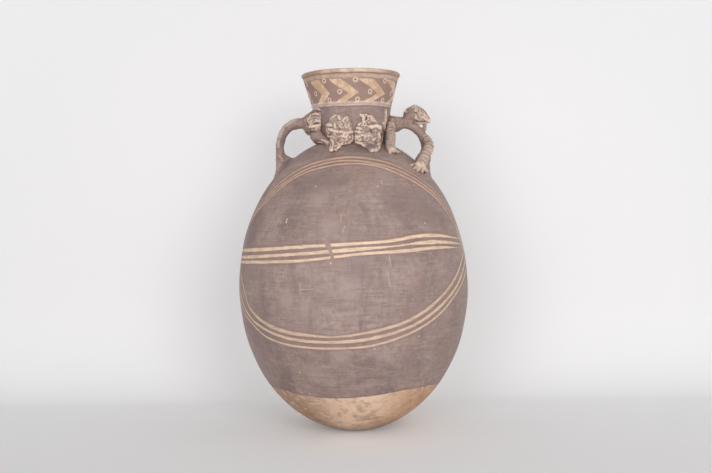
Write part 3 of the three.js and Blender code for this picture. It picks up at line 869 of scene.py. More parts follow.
def right_head(clay):
    neck, skull = in_profile((66.9, 366.2), (70.7, 373.4))
    clay.press(ball(neck, (7.5, 7, 6)), blend=3)
    clay.press(ball(skull, (9.6, 8.6, 9.4)), blend=3)
    snout = in_profile((74.3, 375.1), (81.3, 373.1), (88.6, 368.7), (92.4, 366.3))
    clay.press(coil(snout, [9.4, 8.6, 4.6, 2.2]), blend=2)
    brow = in_profile((70.3, 380.1), (75.3, 383.2), (80.3, 380.7), (85.5, 376.4), (91, 369.9))
    clay.press(coil(brow, [1.8, 2.7, 3.0, 2.9, 2.4]), blend=1.6)
    jaw = in_profile((71.1, 366.8), (77.1, 366), (83, 365.9), (89, 365.6))
    clay.press(coil(jaw, [4.4, 4.0, 3.4, 2.0]), blend=2)
    ear_foot, ear_tip, eye = in_profile((68.3, 376.6), (65, 377.3), (80.5, 374.5))
    for side in (-1, 1):
        clay.press(coil([ear_foot + (0, side * 4, 0), ear_tip + (0, side * 6, 0)], [3.2, 2.3]), blend=1.2)
        clay.press(ball(eye + (0, side * 8.2, 0), (2.4, 2.4, 2.4)), blend=1.5)
    beard = in_profile((87.1, 364.7), (87.7, 361.2), (86.5, 356.6))
    clay.press(coil(beard, [2.6, 1.9, 2.8]), blend=1.5)
    clay.keep_ground()
    for places, thickness, paint in FACE_RIDGES:
        clay.lay(places, thickness, paint, sink=0.3, both_sides=True)
    clay.dent([(79, 366.4), (83, 366.1), (88.3, 366.2)], 1.0, both_sides=True)
    for pit in FACE_PITS:
        clay.dent([pit], 0.9, both_sides=True)
    gap = in_profile((81.3, 360.4))[0]
    clay.carve(coil([gap - (0.6, 12, 0), gap, gap + (-0.6, 12, 0)], 1.5), blend=0.8)
    crumble(clay, FACE_SHAPE, 70, seed=7)


right_clay = right_beast()
right_head(right_clay)
right_handle_animal = skin_of(right_clay, "right_handle_animal")

# %% [markdown]
# The left handle is smooth and narrow, and ends at the neck in a broad blunt head with thick lips, a
# barred cheek and a chin that hangs into the loop. An arm reaches round the neck's foot from under the
# head, on a thin apron of clay.

# %% The left handle animal
LEFT_ARCH = [
    (-40, 0, 362), (-52.5, 0, 365), (-63, 0, 365.3), (-71, 0, 363), (-78.2, 0, 358.2), (-83.2, 0, 350),
    (-85.7, 0, 340.5), (-85.9, 0, 331), (-85.4, 0, 320), (-84, 0, 305),
]
HEAD_LUMPS = [
    ((-66, 23, 6.5), (11.5, 8.8, 12.5)),
    ((-86, 22, 11), (9, 8, 9)),
    ((-61, 7.5, 7), (9.5, 7.5, 7)),
    ((-60, 31, 5), (7, 4.5, 6)),
]
ARM = [(-66, 8, 7.5), (-52, 5, 6), (-42, 2, 7), (-33, -2, 11)]
LEFT_FACE = [
    ([(-45.7, 376.1), (-42.8, 376.6), (-39.9, 376)], 1.5, 1.0),
    ([(-48.3, 373.8), (-49.8, 371.4), (-51.8, 368.3)], 1.5, 1.0),
    ([(-47.7, 367.6), (-43.6, 368.7), (-38.4, 368.2)], 1.7, 0.75),
    ([(-49.7, 361.4), (-44.2, 362), (-38.5, 363.2)], 1.9, 1.0),
    ([(-45.5, 372.3), (-41.9, 372.7), (-38.3, 371.7)], 1.2, 0.45),
    ([(-37.8, 377.4), (-37.4, 371.7), (-37.7, 364.6), (-38.3, 357.9)], 1.1, 0.35),
    ([(-54.6, 370), (-54, 365.5), (-51.4, 360.7), (-50.5, 356.4)], 1.4, 0.15),
    ([(-44.2, 381.8), (-40.6, 382.7), (-37.5, 381.7)], 1.2, 0.6),
    ([(-47.4, 357.8), (-42.6, 358.2), (-39, 357.4)], 1.1, 0.3),
]
LEFT_FINGERS = [
    ([(-45.2, 343.2), (-40.9, 343.4), (-34.4, 342.4)], 0.6),
    ([(-36.1, 345.5), (-31.3, 343.5), (-26.6, 340.4)], 0.8),
]
LEFT_FACE_DENTS = [
    ([(-47.8, 364.8), (-43.7, 365.3), (-38.9, 365.3)], 1.0),
    ([(-53.9, 354.5), (-52, 351.9)], 1.2),
    ([(-47.9, 370.7), (-46, 370.4)], 1.0),
    ([(-50.5, 358.1), (-47.7, 355.4), (-43.8, 355.1)], 0.9),
]
# Pale strips laid thin along the outer side of the left handle, mostly sunk into it.
PALE_HANDLE_STRIPS = [
    ([(-66.3, 369), (-73.1, 365.7), (-78.4, 362)], 2.6),
    ([(-80.4, 359.6), (-83.5, 354.9), (-85.3, 349.7)], 2.4),
    ([(-86.6, 344.9), (-87.4, 337.8)], 1.8),
    ([(-85.6, 326.3), (-83.3, 321.5)], 2.0),
]
LEFT_HEAD_SHAPE = [(-54.3, 371.9), (-47.1, 379.5), (-38, 378.9), (-37.8, 358.6), (-47.4, 356.8), (-54, 360)]
APRON = [
    (-49.2, 354), (-36.6, 355.7), (-29.1, 349.5), (-25.4, 335.3), (-28.1, 336.3), (-34, 340.8),
    (-41.6, 342.1), (-48.8, 341.4),
]


def left_beast():
    clay = Clay((-99, -66, 288), (-19, 66, 389), HANDLE_STEP)
    clay.press(coil(LEFT_ARCH, [6.6, 6.5, 6.3, 5.7, 5.3, 5.0, 4.8, 5.2, 5.8, 7.0]), root=ROOTED_JOIN)
    clay.press(ball((-79, 0, 313), (8, 10, 9)), blend=4, root=ROOTED_JOIN)
    clay.press(ball(*in_profile((-78.8, 322.6)), (3.5, 6, 4)), blend=7, root=ROOTED_JOIN)
    clay.press(ball((-84, -5.2, 324), (2.2, 2.0, 2.0)), blend=1.5)
    clay.press(coil([(-55.5, 0, 367.6), (-50.6, 0, 372.6), (-44.5, 0, 377)], [5.2, 4.8, 4.2]), blend=2)
    clay.press(coil([(-51.6, -1, 358), (-51.4, -2, 353.2)], [5.6, 2.4]), blend=1.6)
    for mirror in (np.array([1, 1, 1]), np.array([1, -1, 1])):
        for place, size in HEAD_LUMPS:
            clay.press(ball(mirror * on_neck(*place), size), blend=2.5)
        arm = [mirror * on_neck(*place) for place in ARM]
        clay.press(coil(arm, [5.4, 4.4, 3.4, 2.6]), blend=2)
    clay.press(slab(APRON, 2.6, (-56, -66, 318), (-20, 66, 362), both_sides=True), blend=1.5)
    clay.keep_ground()
    for places, thickness, paint in LEFT_FACE:
        clay.lay(places, thickness, paint, sink=0.3, both_sides=True)
    for places, paint in LEFT_FINGERS:
        clay.lay(places, 1.1, paint, both_sides=True)
    for places, radius in LEFT_FACE_DENTS:
        clay.dent(places, radius, both_sides=True)
    crumble(clay, LEFT_HEAD_SHAPE, 40, seed=4)
    for strip, width in PALE_HANDLE_STRIPS:
        clay.lay(strip, width, paint=0.4, sink=0.85, blend=2.0, both_sides=True)
    return clay


left_handle_animal = skin_of(left_beast(), "left_handle_animal")

# %% [markdown]
# Between the handles two crouching animals face each other and hold their paws together. Each was cut
# from a slab of clay, laid on the neck and built up with lumps, ridges, fingers and an eye ring, which
# caught the pale slip. One block of clay is drawn for each animal, and the back pair is the same pair
# turned half round.

# %% The crouching animals
FIGURE_STEP = 0.45
SLAB_THICKNESS = 4.4
LEFT_SHAPE = [
    (-29.3, 366.9), (-24.5, 371.6), (-18.4, 376.2), (-11.2, 377.3), (-2.9, 373.7), (0.5, 364.1),
    (2.1, 353.3), (2.7, 343.2), (-3.4, 339.8), (-10.6, 338.7), (-15.4, 335.7), (-19.3, 331.9),
    (-21.9, 334.1), (-23.1, 331), (-26.9, 332.2), (-26.1, 341.8), (-30.3, 347.8), (-31.8, 357.4),
]
LEFT_LUMPS = [
    ((-12.8, 348.8), (11, 6, 8.5)),
    ((-9, 367.8), (8, 4, 8.5)),
    ((-24.6, 360.8), (6, 4, 6.5)),
    ((-17.5, 357.2), (7, 4.5, 6)),
]
LEFT_ROLLS = [
    ([(-15.1, 373.1), (-13.7, 370)], 1.5, 0.8),
    ([(-8.2, 370.6), (-9.5, 368.3), (-11.6, 365.4)], 1.3, 1.0),
    ([(-5.6, 372.5), (-4.4, 367.7), (-3.6, 362.5)], 1.6, 0.5),
    ([(-19.6, 374.6), (-22.1, 372.2), (-25, 369.7)], 1.3, 0.6),
    ([(-28.9, 363), (-26.7, 363.7), (-24.4, 362.7)], 1.7, 0.9),
    ([(-20, 366), (-19.6, 361)], 1.5, 0.9),
    ([(-26.6, 358.7), (-22.3, 356.5), (-17.5, 355), (-13.5, 354.7)], 1.8, 1.0),
    ([(-13.4, 361.9), (-11.3, 358.5)], 1.2, 0.5),
    ([(-5.1, 353), (-2.2, 354.1), (0.9, 355)], 1.6, 1.0),
    ([(-21.1, 352.7), (-18.3, 350.3)], 1.1, 0.6),
    ([(-18.6, 345), (-17.6, 347.9), (-10.4, 349.5), (-2.5, 347.9)], 1.7, 1.0),
    ([(-12.1, 345.7), (-9.3, 343.7), (-5.5, 344.9)], 1.5, 1.0),
    ([(-28.4, 349.4), (-24.3, 349.2)], 1.1, 0.5),
    ([(-3.1, 341.2), (-0.2, 344.1), (1.3, 348.8)], 1.2, 0.4),
    ([(-23.6, 345.8), (-23.5, 339.8), (-24.7, 334.4)], 1.7, 0.15),
    ([(-25.7, 332.9), (-24, 333.6)], 1.6, 1.0),
    ([(-19.7, 333.6), (-17.5, 335.2), (-15.1, 336.9)], 1.5, 1.0),
    ([(-12.9, 340.2), (-6.9, 340.8), (-2.2, 340.5)], 0.9, 0.5),
    ([(-7.3, 366.1), (-6.2, 359.9)], 1.1, 0.3),
    ([(-16.9, 365.5), (-14.5, 366.7), (-14.3, 362.4)], 1.1, 0.4),
]
LEFT_DENTS = [
    [(-16.8, 358.8), (-12.7, 357.6)], [(-10.1, 358), (-9.4, 354.2)], [(-23, 360.3), (-27.5, 360.2)],
    [(-7.5, 351.6), (-13.3, 351.9)], [(-24.6, 343.9), (-24.5, 337.5)], [(-12.4, 341.8), (-8.9, 341.3)],
    [(-10.7, 363.3), (-8.6, 361.4)], [(-16.6, 368.4)], [(-2.4, 358.9)],
]
RIGHT_SHAPE = [
    (5.3, 360.5), (8.4, 365.9), (12, 366.8), (10.7, 375.4), (19.8, 376.5), (26.9, 372.1), (34, 364.4),
    (36.3, 356.5), (36.2, 344.6), (34.8, 333.8), (28.8, 329.1), (22.4, 329.9), (16.9, 334.3), (11.7, 337.5),
    (4.3, 340.7), (2.7, 347.4), (4, 355.7),
]
RIGHT_LUMPS = [
    ((21.8, 343.6), (9, 5.5, 9)),
    ((26.8, 360.2), (8, 4.5, 6.5)),
    ((9.9, 350.9), (5.5, 4.5, 9)),
    ((22.1, 369.8), (4.5, 3.5, 5.5)),
]
RIGHT_ROLLS = [
    ([(11.2, 374.7), (14, 373.7), (17.2, 374.6)], 1.7, 1.0),
    ([(14.3, 372.7), (14.2, 369.2), (14.7, 365.8)], 1.3, 0.9),
    ([(8.6, 362.6), (12.5, 363.5), (17.3, 363.9)], 1.7, 1.0),
    ([(17.7, 362.2), (22.7, 360.2)], 1.3, 0.8),
    ([(23.7, 360.9), (28, 361.4), (33.2, 359.6)], 3.0, 1.0),
    ([(20, 372.7), (22.6, 372.6), (24.3, 368.8)], 1.6, 0.35),
    ([(6.5, 359.5), (8.4, 359.3), (10.5, 358.2)], 1.4, 0.9),
    ([(4.7, 355), (9.5, 354)], 1.4, 0.9),
    ([(4.9, 349), (8.7, 349), (12.6, 350.6)], 1.5, 1.0),
    ([(3.2, 346.7), (6.3, 345.2), (9.4, 344.2)], 1.5, 0.9),
    ([(4.6, 342.3), (8.9, 341.3), (12.2, 339.9), (14.8, 337.7)], 1.4, 1.0),
    ([(12.3, 350), (18.7, 350.3), (23.8, 348.5), (25.2, 345.7), (23.9, 342.8), (21, 340.7)], 1.15, 0.9),
    ([(28.2, 357.3), (27.9, 354.5), (27.2, 351.6)], 1.3, 0.8),
    ([(18.8, 331.7), (22.8, 329.9), (26.9, 329.4), (31.2, 330.8)], 0.9, 0.9),
    ([(32, 353), (33.1, 345.8), (31.3, 338.2)], 1.9, 0.15),
    ([(35.9, 359.4), (36.3, 351.7), (35.7, 343.4)], 1.0, 0.5),
    ([(26.2, 367.8), (30, 365.4)], 1.5, 0.3),
]
RIGHT_DENTS = [
    [(17.9, 372.7), (17.8, 367.2)], [(20.4, 366.9), (22.3, 366.2)], [(11.9, 356.1), (14, 354.9)],
    [(15.1, 347.5), (16.5, 342.9)], [(20.3, 356.7), (20.5, 351.9)], [(28.5, 347.1), (29.2, 342.3)],
    [(27.2, 335.6)], [(33.7, 335.8), (33.6, 333.9)], [(32.8, 365.8)], [(24.1, 354)],
]
PELLETS = [(40.2, 369.1), (37.6, 364.6), (39, 359.3), (40.4, 377.6)]
SEAM = [(40.6, 380.2), (40.2, 374.3), (39.4, 368.4), (38.4, 362.4), (38.8, 356.9)]


def lay_all(clay, rolls, dents):
    for places, thickness, paint in rolls:
        clay.lay(places, thickness, paint, sink=0.5, blend=0.9)
    for places in dents:
        clay.dent(places, 1.0, sink=-0.4)


def slab_figure(low, high, slab_high, shape, lumps):
    """The start of a crouching animal: a slab cut to its outline, with lumps of clay pressed on."""
    clay = Clay(low, high, FIGURE_STEP)
    clay.press(slab(shape, SLAB_THICKNESS, low, slab_high), blend=2)
    for centre, size in lumps:
        clay.keep_ground()
        clay.press(ball(clay.on_ground(centre, 1.0), size), blend=2.5)
    clay.keep_ground()
    return clay


def left_figure():
    clay = slab_figure((-46, -74, 316), (10, -26, 380), (10, -26, 380), LEFT_SHAPE, LEFT_LUMPS)
    leg = [clay.on_ground(place, 0.5) for place in ((-21.2, 350.1), (-22, 341.7), (-24.3, 334.1))]
    clay.press(coil(leg, [3.6, 3.4, 2.6]), blend=1.6)
    clay.keep_ground()
    lay_all(clay, LEFT_ROLLS, LEFT_DENTS)
    clay.lay(ring_of((-9.6, 355.6), 2.3), 0.8, paint=0.5)
    crumble(clay, LEFT_SHAPE, 120, seed=11)
    return clay


def right_figure():
    clay = slab_figure((-2, -74, 316), (48, 6, 384), (44, -6, 384), RIGHT_SHAPE, RIGHT_LUMPS)
    lay_all(clay, RIGHT_ROLLS, RIGHT_DENTS)
    for centre, radius in (((24.1, 354), 2.2), ((18, 346.5), 2.6)):
        clay.lay(ring_of(centre, radius), 0.8, paint=0.5)
    clay.lay(SEAM, [1.6, 2.4, 2.8, 2.6, 1.8], paint=0.35, sink=0.3, blend=2)
    for pellet in PELLETS:
        clay.lay([pellet], 1.7, paint=0.8, sink=0.2, blend=1.2)
    crumble(clay, RIGHT_SHAPE, 120, seed=5)
    return clay


def turned_copy(piece, name):
    """The same piece on the other side of the jar, half a turn round."""
    twin = bpy.data.objects.new(name, piece.data.copy())
    twin.data.name = name
    twin.data.transform(Matrix.Rotation(math.pi, 4, "Z"))
    bpy.context.scene.collection.objects.link(twin)
    return twin


front_left_figure = skin_of(left_figure(), "front_left_figure")
front_right_figure = skin_of(right_figure(), "front_right_figure")
back_left_figure = turned_copy(front_left_figure, "back_left_figure")
back_right_figure = turned_copy(front_right_figure, "back_right_figure")

# %% [markdown]
# The materials come next. All of them are built from a few effects, and an effect that more than one
# finish uses is a node group with named inputs and outputs. Wires is a small helper that places nodes
# and joins them, so that each effect reads like a short recipe.

# %% A helper for wiring nodes
NOISE_INPUTS = ("Vector", "Scale", "Detail", "Roughness", "Distortion")


def tone(red, green, blue):
    """A colour as a paint chart gives it, 0 to 255, for a shader socket."""
    shares = [c / 255 for c in (red, green, blue)]
    return tuple(c / 12.92 if c <= 0.04 else ((c + 0.055) / 1.055) ** 2.4 for c in shares) + (1.0,)


class Wires:
    """Places shader nodes in a tree and joins them. A value may be a socket, a number or a colour."""

    def __init__(self, tree):
        self.tree = tree

    def node(self, kind, **settings):
        made = self.tree.nodes.new("ShaderNode" + kind)
        for key, value in settings.items():
            setattr(made, key, value)
        return made

    def feed(self, socket, value):
        if isinstance(value, bpy.types.NodeSocket):
            self.tree.links.new(value, socket)
        else:
            socket.default_value = value

    def math(self, operation, a, b=0.0, c=0.0, clamp=False):
        made = self.node("Math", operation=operation, use_clamp=clamp)
        for socket, value in zip(made.inputs, (a, b, c)):
            self.feed(socket, value)
        return made.outputs[0]

    def plus(self, *values):
        return reduce(lambda a, b: self.math("ADD", a, b), values)

    def minus(self, a, b):
        return self.math("SUBTRACT", a, b)

    def times(self, *values):
        return reduce(lambda a, b: self.math("MULTIPLY", a, b), values)

    def most(self, *values):
        return reduce(lambda a, b: self.math("MAXIMUM", a, b), values)

    def least(self, *values):
        return reduce(lambda a, b: self.math("MINIMUM", a, b), values)

    def mix(self, share, a, b):
        made = self.node("Mix", data_type="RGBA")
        for index, value in ((0, share), (6, a), (7, b)):
            self.feed(made.inputs[index], value)
        return made.outputs[2]

    def spread(self, value, low, high, to_low=0.0, to_high=1.0):
        """Maps a value between low and high to another range, and stops at its ends."""
        made = self.node("MapRange", interpolation_type="SMOOTHSTEP")
        for index, entry in enumerate((value, low, high, to_low, to_high)):
            self.feed(made.inputs[index], entry)
        return made.outputs[0]

    def fade(self, value, low, high):
        """One up to low, nought beyond high."""
        return self.spread(value, low, high, 1.0, 0.0)

    def between(self, value, rise, fall):
        """One within a band, whose soft edges are the pairs rise and fall."""
        return self.times(self.spread(value, *rise), self.fade(value, *fall))

    def layered(self, colour, *layers):
        """Lays colours over one another, each given after the mask that says where it shows."""
        for mask, tint in layers:
            colour = self.mix(mask, colour, tint)
        return colour

    def noise(self, where, scale, detail=3.0, roughness=0.55, distortion=0.0):
        made = self.node("TexNoise")
        for name, value in zip(NOISE_INPUTS, (where, scale, detail, roughness, distortion)):
            self.feed(made.inputs[name], value)
        return made.outputs["Fac"]

    def stray(self, where, *settings):
        """Noise about nought, for pushing an edge or a height to and fro."""
        return self.minus(self.noise(where, *settings), 0.5)

    def split(self, value):
        made = self.node("SeparateXYZ")
        self.feed(made.inputs[0], value)
        return made.outputs

    def vector(self, operation, a, b=(0.0, 0.0, 0.0)):
        made = self.node("VectorMath", operation=operation)
        self.feed(made.inputs[0], a)
        if operation != "LENGTH":
            self.feed(made.inputs[1], b)
        return made.outputs["Value" if operation in ("LENGTH", "DISTANCE", "DOT_PRODUCT") else "Vector"]

    def stretched(self, where, stretch):
        made = self.node("Mapping")
        self.feed(made.inputs["Vector"], where)
        made.inputs["Scale"].default_value = stretch
        return made.outputs[0]

    def place(self):
        return self.node("TexCoord").outputs["Object"]

    def kept(self, name, output="Fac"):
        return self.node("Attribute", attribute_name=name).outputs[output]


def effect(name, inputs, outputs, recipe):
    """A node group: inputs and outputs are {name: (socket kind, value)}, and recipe wires them up."""
    tree = bpy.data.node_groups.new(name, "ShaderNodeTree")
    for label, (kind, value) in inputs.items():
        tree.interface.new_socket(label, in_out="INPUT", socket_type=kind).default_value = value
    for label, kind in outputs.items():
        tree.interface.new_socket(label, in_out="OUTPUT", socket_type=kind)
    wires = Wires(tree)
    given = tree.nodes.new("NodeGroupInput").outputs
    results = recipe(wires, given)
    end = tree.nodes.new("NodeGroupOutput")
    for label, value in results.items():
        tree.links.new(value, end.inputs[label])
    return tree


def use(wires, group, **values):
    """Places a node group and sets or joins its inputs; names are given with _ for a space."""
    made = wires.node("Group", node_tree=group)
    for label, value in values.items():
        wires.feed(made.inputs[label.replace("_", " ")], value)
    return made.outputs


NUMBER, COLOUR, VECTOR = "NodeSocketFloat", "NodeSocketColor", "NodeSocketVector"
print("wiring helper ready")

# %% [markdown]
# Old slip is never one colour. It was wiped on by hand, fired in smoke and buried, so it has broad cloudy
# patches, smaller reddish and grey ones, faint streaks of the wiping hand and pale specks of lime. The
# group mixes all of these over whatever base colour it is given, and also says how rough and how high
# each spot is.

# %% Effect: old slip


def old_slip_recipe(w, given):
    where = w.place()
    cloud = w.noise(where, 11.0, 4.0, 0.6, 0.5)
    patch = w.noise(where, 34.0, 5.0, 0.65, 0.3)
    grain = w.noise(where, 190.0, 4.0, 0.65)
    streak = w.noise(w.stretched(where, (1.0, 1.0, 5.0)), 16.0, 4.0, 0.6, 0.3)
    wiped = w.noise(w.stretched(where, (1.0, 1.0, 9.0)), 48.0, 5.0, 0.7, 0.2)
    rubbed = w.noise(w.stretched(where, (7.0, 7.0, 1.0)), 40.0, 5.0, 0.7, 0.2)
    smoke = w.noise(w.stretched(where, (1.0, 1.0, 0.5)), 21.0, 5.0, 0.62, 0.6)
    colour = w.layered(
        given["Base"],
        (w.spread(cloud, 0.38, 0.62), given["Cloud"]),
        (w.spread(patch, 0.46, 0.62, 0.0, 0.8), given["Blush"]),
        (w.spread(smoke, 0.48, 0.66, 0.0, 0.85), given["Smoke"]),
        (w.spread(streak, 0.5, 0.66, 0.0, 0.45), given["Cloud"]),
        (w.spread(wiped, 0.5, 0.36, 0.0, 0.5), given["Smoke"]),
        (w.spread(rubbed, 0.5, 0.36, 0.0, 0.35), given["Smoke"]),
        (w.spread(wiped, 0.55, 0.72, 0.0, 0.3), given["Lime"]),
        (w.spread(grain, 0.52, 0.7, 0.0, 0.2), given["Lime"]),
        (w.spread(grain, 0.48, 0.3, 0.0, 0.35), given["Smoke"]),
    )
    specks = w.spread(w.noise(where, 230.0, 2.0, 0.5), 0.71, 0.78)
    lime = w.times(specks, w.spread(w.noise(where, 30.0, 3.0), 0.46, 0.64))
    hair = w.spread(w.noise(w.stretched(where, (1.0, 1.0, 0.09)), 300.0, 2.0, 0.5, 0.3), 0.73, 0.77)
    cross = w.spread(w.noise(w.stretched(where, (0.12, 0.12, 1.3)), 280.0, 2.0, 0.5, 0.3), 0.735, 0.775)
    marks = w.math("MULTIPLY", w.most(hair, cross, lime), given["Marks"], clamp=True)
    colour = w.mix(marks, colour, given["Lime"])
    rough = w.spread(cloud, 0.3, 0.75, 0.56, 0.72)
    height = w.minus(w.plus(w.times(grain, 0.5), w.times(patch, 0.8)), w.times(marks, 0.25))
    return {"Colour": colour, "Roughness": rough, "Height": height}


old_slip = effect(
    "old_slip",
    {
        "Base": (COLOUR, tone(148, 125, 118)),
        "Cloud": (COLOUR, tone(167, 144, 137)),
        "Blush": (COLOUR, tone(157, 132, 123)),
        "Smoke": (COLOUR, tone(126, 106, 103)),
        "Lime": (COLOUR, tone(205, 188, 174)),
        "Marks": (NUMBER, 0.4),
    },
    {"Colour": COLOUR, "Roughness": NUMBER, "Height": NUMBER},
    old_slip_recipe,
)
print("effect:", old_slip.name)

# %% [markdown]
# The brush lines use the distances kept on the wall. A little noise is added to each distance, so the
# edge of a line wavers as a brush does, and coarser noise bites flakes out of it. A soft halo, where
# the wet brush dragged brown slip along, lies beside each line.

# %% Effect: brush lines


def brush_lines_recipe(w, given):
    where = w.place()
    waver = w.times(w.stray(where, 120.0, 3.0), given["Waver"])
    flakes = w.spread(w.noise(where, 150.0, 5.0, 0.7), given["Wear"], w.plus(given["Wear"], 0.14), 1.0, 0.0)
    thin = w.spread(w.noise(w.stretched(where, (1.0, 1.0, 6.0)), 60.0, 5.0, 0.7), 0.3, 0.6, 0.5, 1.0)
    gaps = [w.plus(w.math("ABSOLUTE", part), waver) for part in w.split(given["Distances"])]
    strengths = w.split(given["Strengths"])
    lines = [w.times(w.fade(gap, 0.7, 1.25), strength) for gap, strength in zip(gaps, strengths)]
    return {
        "Line": w.times(w.most(*lines), flakes, thin),
        "Halo": w.fade(w.least(*gaps), 1.2, 3.4),
    }


brush_lines = effect(
    "brush_lines",
    {
        "Distances": (VECTOR, (9.0, 9.0, 9.0)),
        "Strengths": (VECTOR, (1.0, 1.0, 1.0)),
        "Waver": (NUMBER, 0.8),
        "Wear": (NUMBER, 0.62),
    },
    {"Line": NUMBER, "Halo": NUMBER},
    brush_lines_recipe,
)
print("effect:", brush_lines.name)

# %% [markdown]
# A scratch, a chip or a worn patch is made of soft strokes between two places on the wall. The group
# measures how far each spot is from one stroke, in millimetres.

# %% Effect: one stroke


def stroke_recipe(w, given):
    run = w.vector("SUBTRACT", given["End"], given["Start"])
    away = w.vector("SUBTRACT", w.place(), given["Start"])
    length = w.plus(w.vector("DOT_PRODUCT", run, run), 1e-9)
    share = w.math("DIVIDE", w.vector("DOT_PRODUCT", away, run), length, clamp=True)
    made = w.node("VectorMath", operation="SCALE")
    w.feed(made.inputs[0], run)
    w.feed(made.inputs["Scale"], share)
    return {"Gap": w.times(w.vector("DISTANCE", away, made.outputs[0]), 1 / MM)}


ORIGIN = (0.0, 0.0, 0.0)
stroke_ends = {"Start": (VECTOR, ORIGIN), "End": (VECTOR, ORIGIN)}
stroke = effect("stroke", stroke_ends, {"Gap": NUMBER}, stroke_recipe)
print("effect:", stroke.name)

# %% [markdown]
# The collar carries a row of arrowheads that point to the right, with small dotted rings between them.
# One cell of forty degrees is drawn and repeated nine times. The turn round the axis and the height come
# from the object's own coordinates. Above and below the tip the turn is sheared, which makes the two
# arms of an arrowhead out of one upright bar. The painter hurried at the left of the front, where the
# arrowheads lean less.

# %% Effect: collar ornament
TIP_TURN = 11.6
PITCH = 40.0
TIP_HEIGHT = 396.0
UPPER_SHEAR = 24.0
LOWER_SHEAR = 22.0
COLLAR_RADIUS = 52
HURRIED_TURN = ((-85.0, -65.0), (-38.0, -16.0))
ARROW_HEIGHT = ((384.6, 385.8), (411.0, 412.6))
RINGS = [(13.5, 397.5), (-6.0, 410.2), (-3.0, 388.6)]


def collar_recipe(w, given):
    where = w.place()
    x, y, z = w.split(where)
    wobble = w.stray(where, 70.0, 2.0)
    turn = w.math("DEGREES", w.math("ARCTAN2", x, w.times(y, -1.0)))
    hurried = w.between(turn, *HURRIED_TURN)
    turn = w.plus(turn, w.times(wobble, 3.4))
    height = w.plus(w.times(z, 1 / MM), w.times(wobble, -2.0))
    up = w.math("DIVIDE", w.minus(height, TIP_HEIGHT), 16.0, clamp=True)
    down = w.math("DIVIDE", w.minus(TIP_HEIGHT, height), 10.5, clamp=True)
    lean = w.minus(1.0, w.times(hurried, 0.45))
    upper_arm, lower_arm = w.times(up, UPPER_SHEAR, lean), w.times(down, LOWER_SHEAR, lean)
    sheared = w.plus(w.minus(turn, TIP_TURN), upper_arm, lower_arm)
    cell = w.math("WRAP", sheared, 0.0, -PITCH)
    width = w.plus(15.0, w.times(up, 6.0), w.times(down, -2.0))
    bar = w.times(w.spread(w.plus(cell, width), -0.7, 0.7), w.fade(cell, -1.3, -0.1))
    arrow = w.times(bar, w.between(height, *ARROW_HEIGHT))
    rings = []
    hearts = []
    for ring_turn_deg, ring_height in RINGS:
        across = w.math("WRAP", w.minus(turn, TIP_TURN + ring_turn_deg), PITCH / 2, -PITCH / 2)
        across = w.times(across, math.radians(1) * COLLAR_RADIUS)
        rise = w.minus(height, ring_height)
        gap = w.math("SQRT", w.plus(w.times(across, across), w.times(rise, rise)))
        rings.append(w.times(w.fade(gap, 2.6, 3.4), w.spread(gap, 0.9, 1.7)))
        hearts.append(w.fade(gap, 0.6, 1.5))
    flakes = w.spread(w.noise(where, 200.0, 5.0, 0.7), 0.56, 0.74, 1.0, 0.3)
    return {
        "Arrow": w.times(arrow, flakes),
        "Ring": w.times(w.most(*rings), flakes),
        "Heart": w.most(*hearts),
        "Height": height,
    }


collar_ornament = effect(
    "collar_ornament", {}, {"Arrow": NUMBER, "Ring": NUMBER, "Heart": NUMBER, "Height": NUMBER}, collar_recipe
)
print("effect:", collar_ornament.name)

# %% [markdown]
# The wall's own material layers them: slip over bare clay, paint over slip, wear and painted shadow over
# paint. Its values are set on the groups, and only what changes over the surface is joined to the shader.
# The bare base has no slip at all: it is sandy clay, palest in the middle of the front and back, with
# soot and a few pale scratches.

# %% Finish: the painted jar


def new_finish(name):
    finish = bpy.data.materials.new(name)
    finish.use_nodes = True
    w = Wires(finish.node_tree)
    shader = finish.node_tree.nodes["Principled BSDF"]
    return finish, w, shader


def raise_relief(w, shader, height, distance):
    bump = w.node("Bump")
    bump.inputs["Strength"].default_value = 1.0
    bump.inputs["Distance"].default_value = distance
    w.feed(bump.inputs["Height"], height)
    w.feed(shader.inputs["Normal"], bump.outputs[0])


def on_wall(turn, z):
    """A point on the wall's outside in metres, by its turn in degrees and height in mm."""
    a = math.radians(turn)
    radius = float(np.interp(z, rows_z[: len(outer)], rows_r[: len(outer)])) + float(unevenness(a, z))
    return (radius * math.sin(a) * MM, -radius * math.cos(a) * MM, z * MM)


def strokes(w, runs, half_width, soft, fray, fray_scale=300.0):
    """A mask of several strokes, each a run of (turn, z) places, with edges frayed by noise."""
    legs = [leg for run in runs for leg in zip(run, run[1:] or run)]
    gaps = [use(w, stroke, Start=on_wall(*start), End=on_wall(*end))["Gap"] for start, end in legs]
    ragged = w.times(w.stray(w.place(), fray_scale, 4.0, 0.65), fray)
    return w.fade(w.plus(w.least(*gaps), ragged), half_width, half_width + soft)


print("finish helpers: new_finish, raise_relief, strokes")
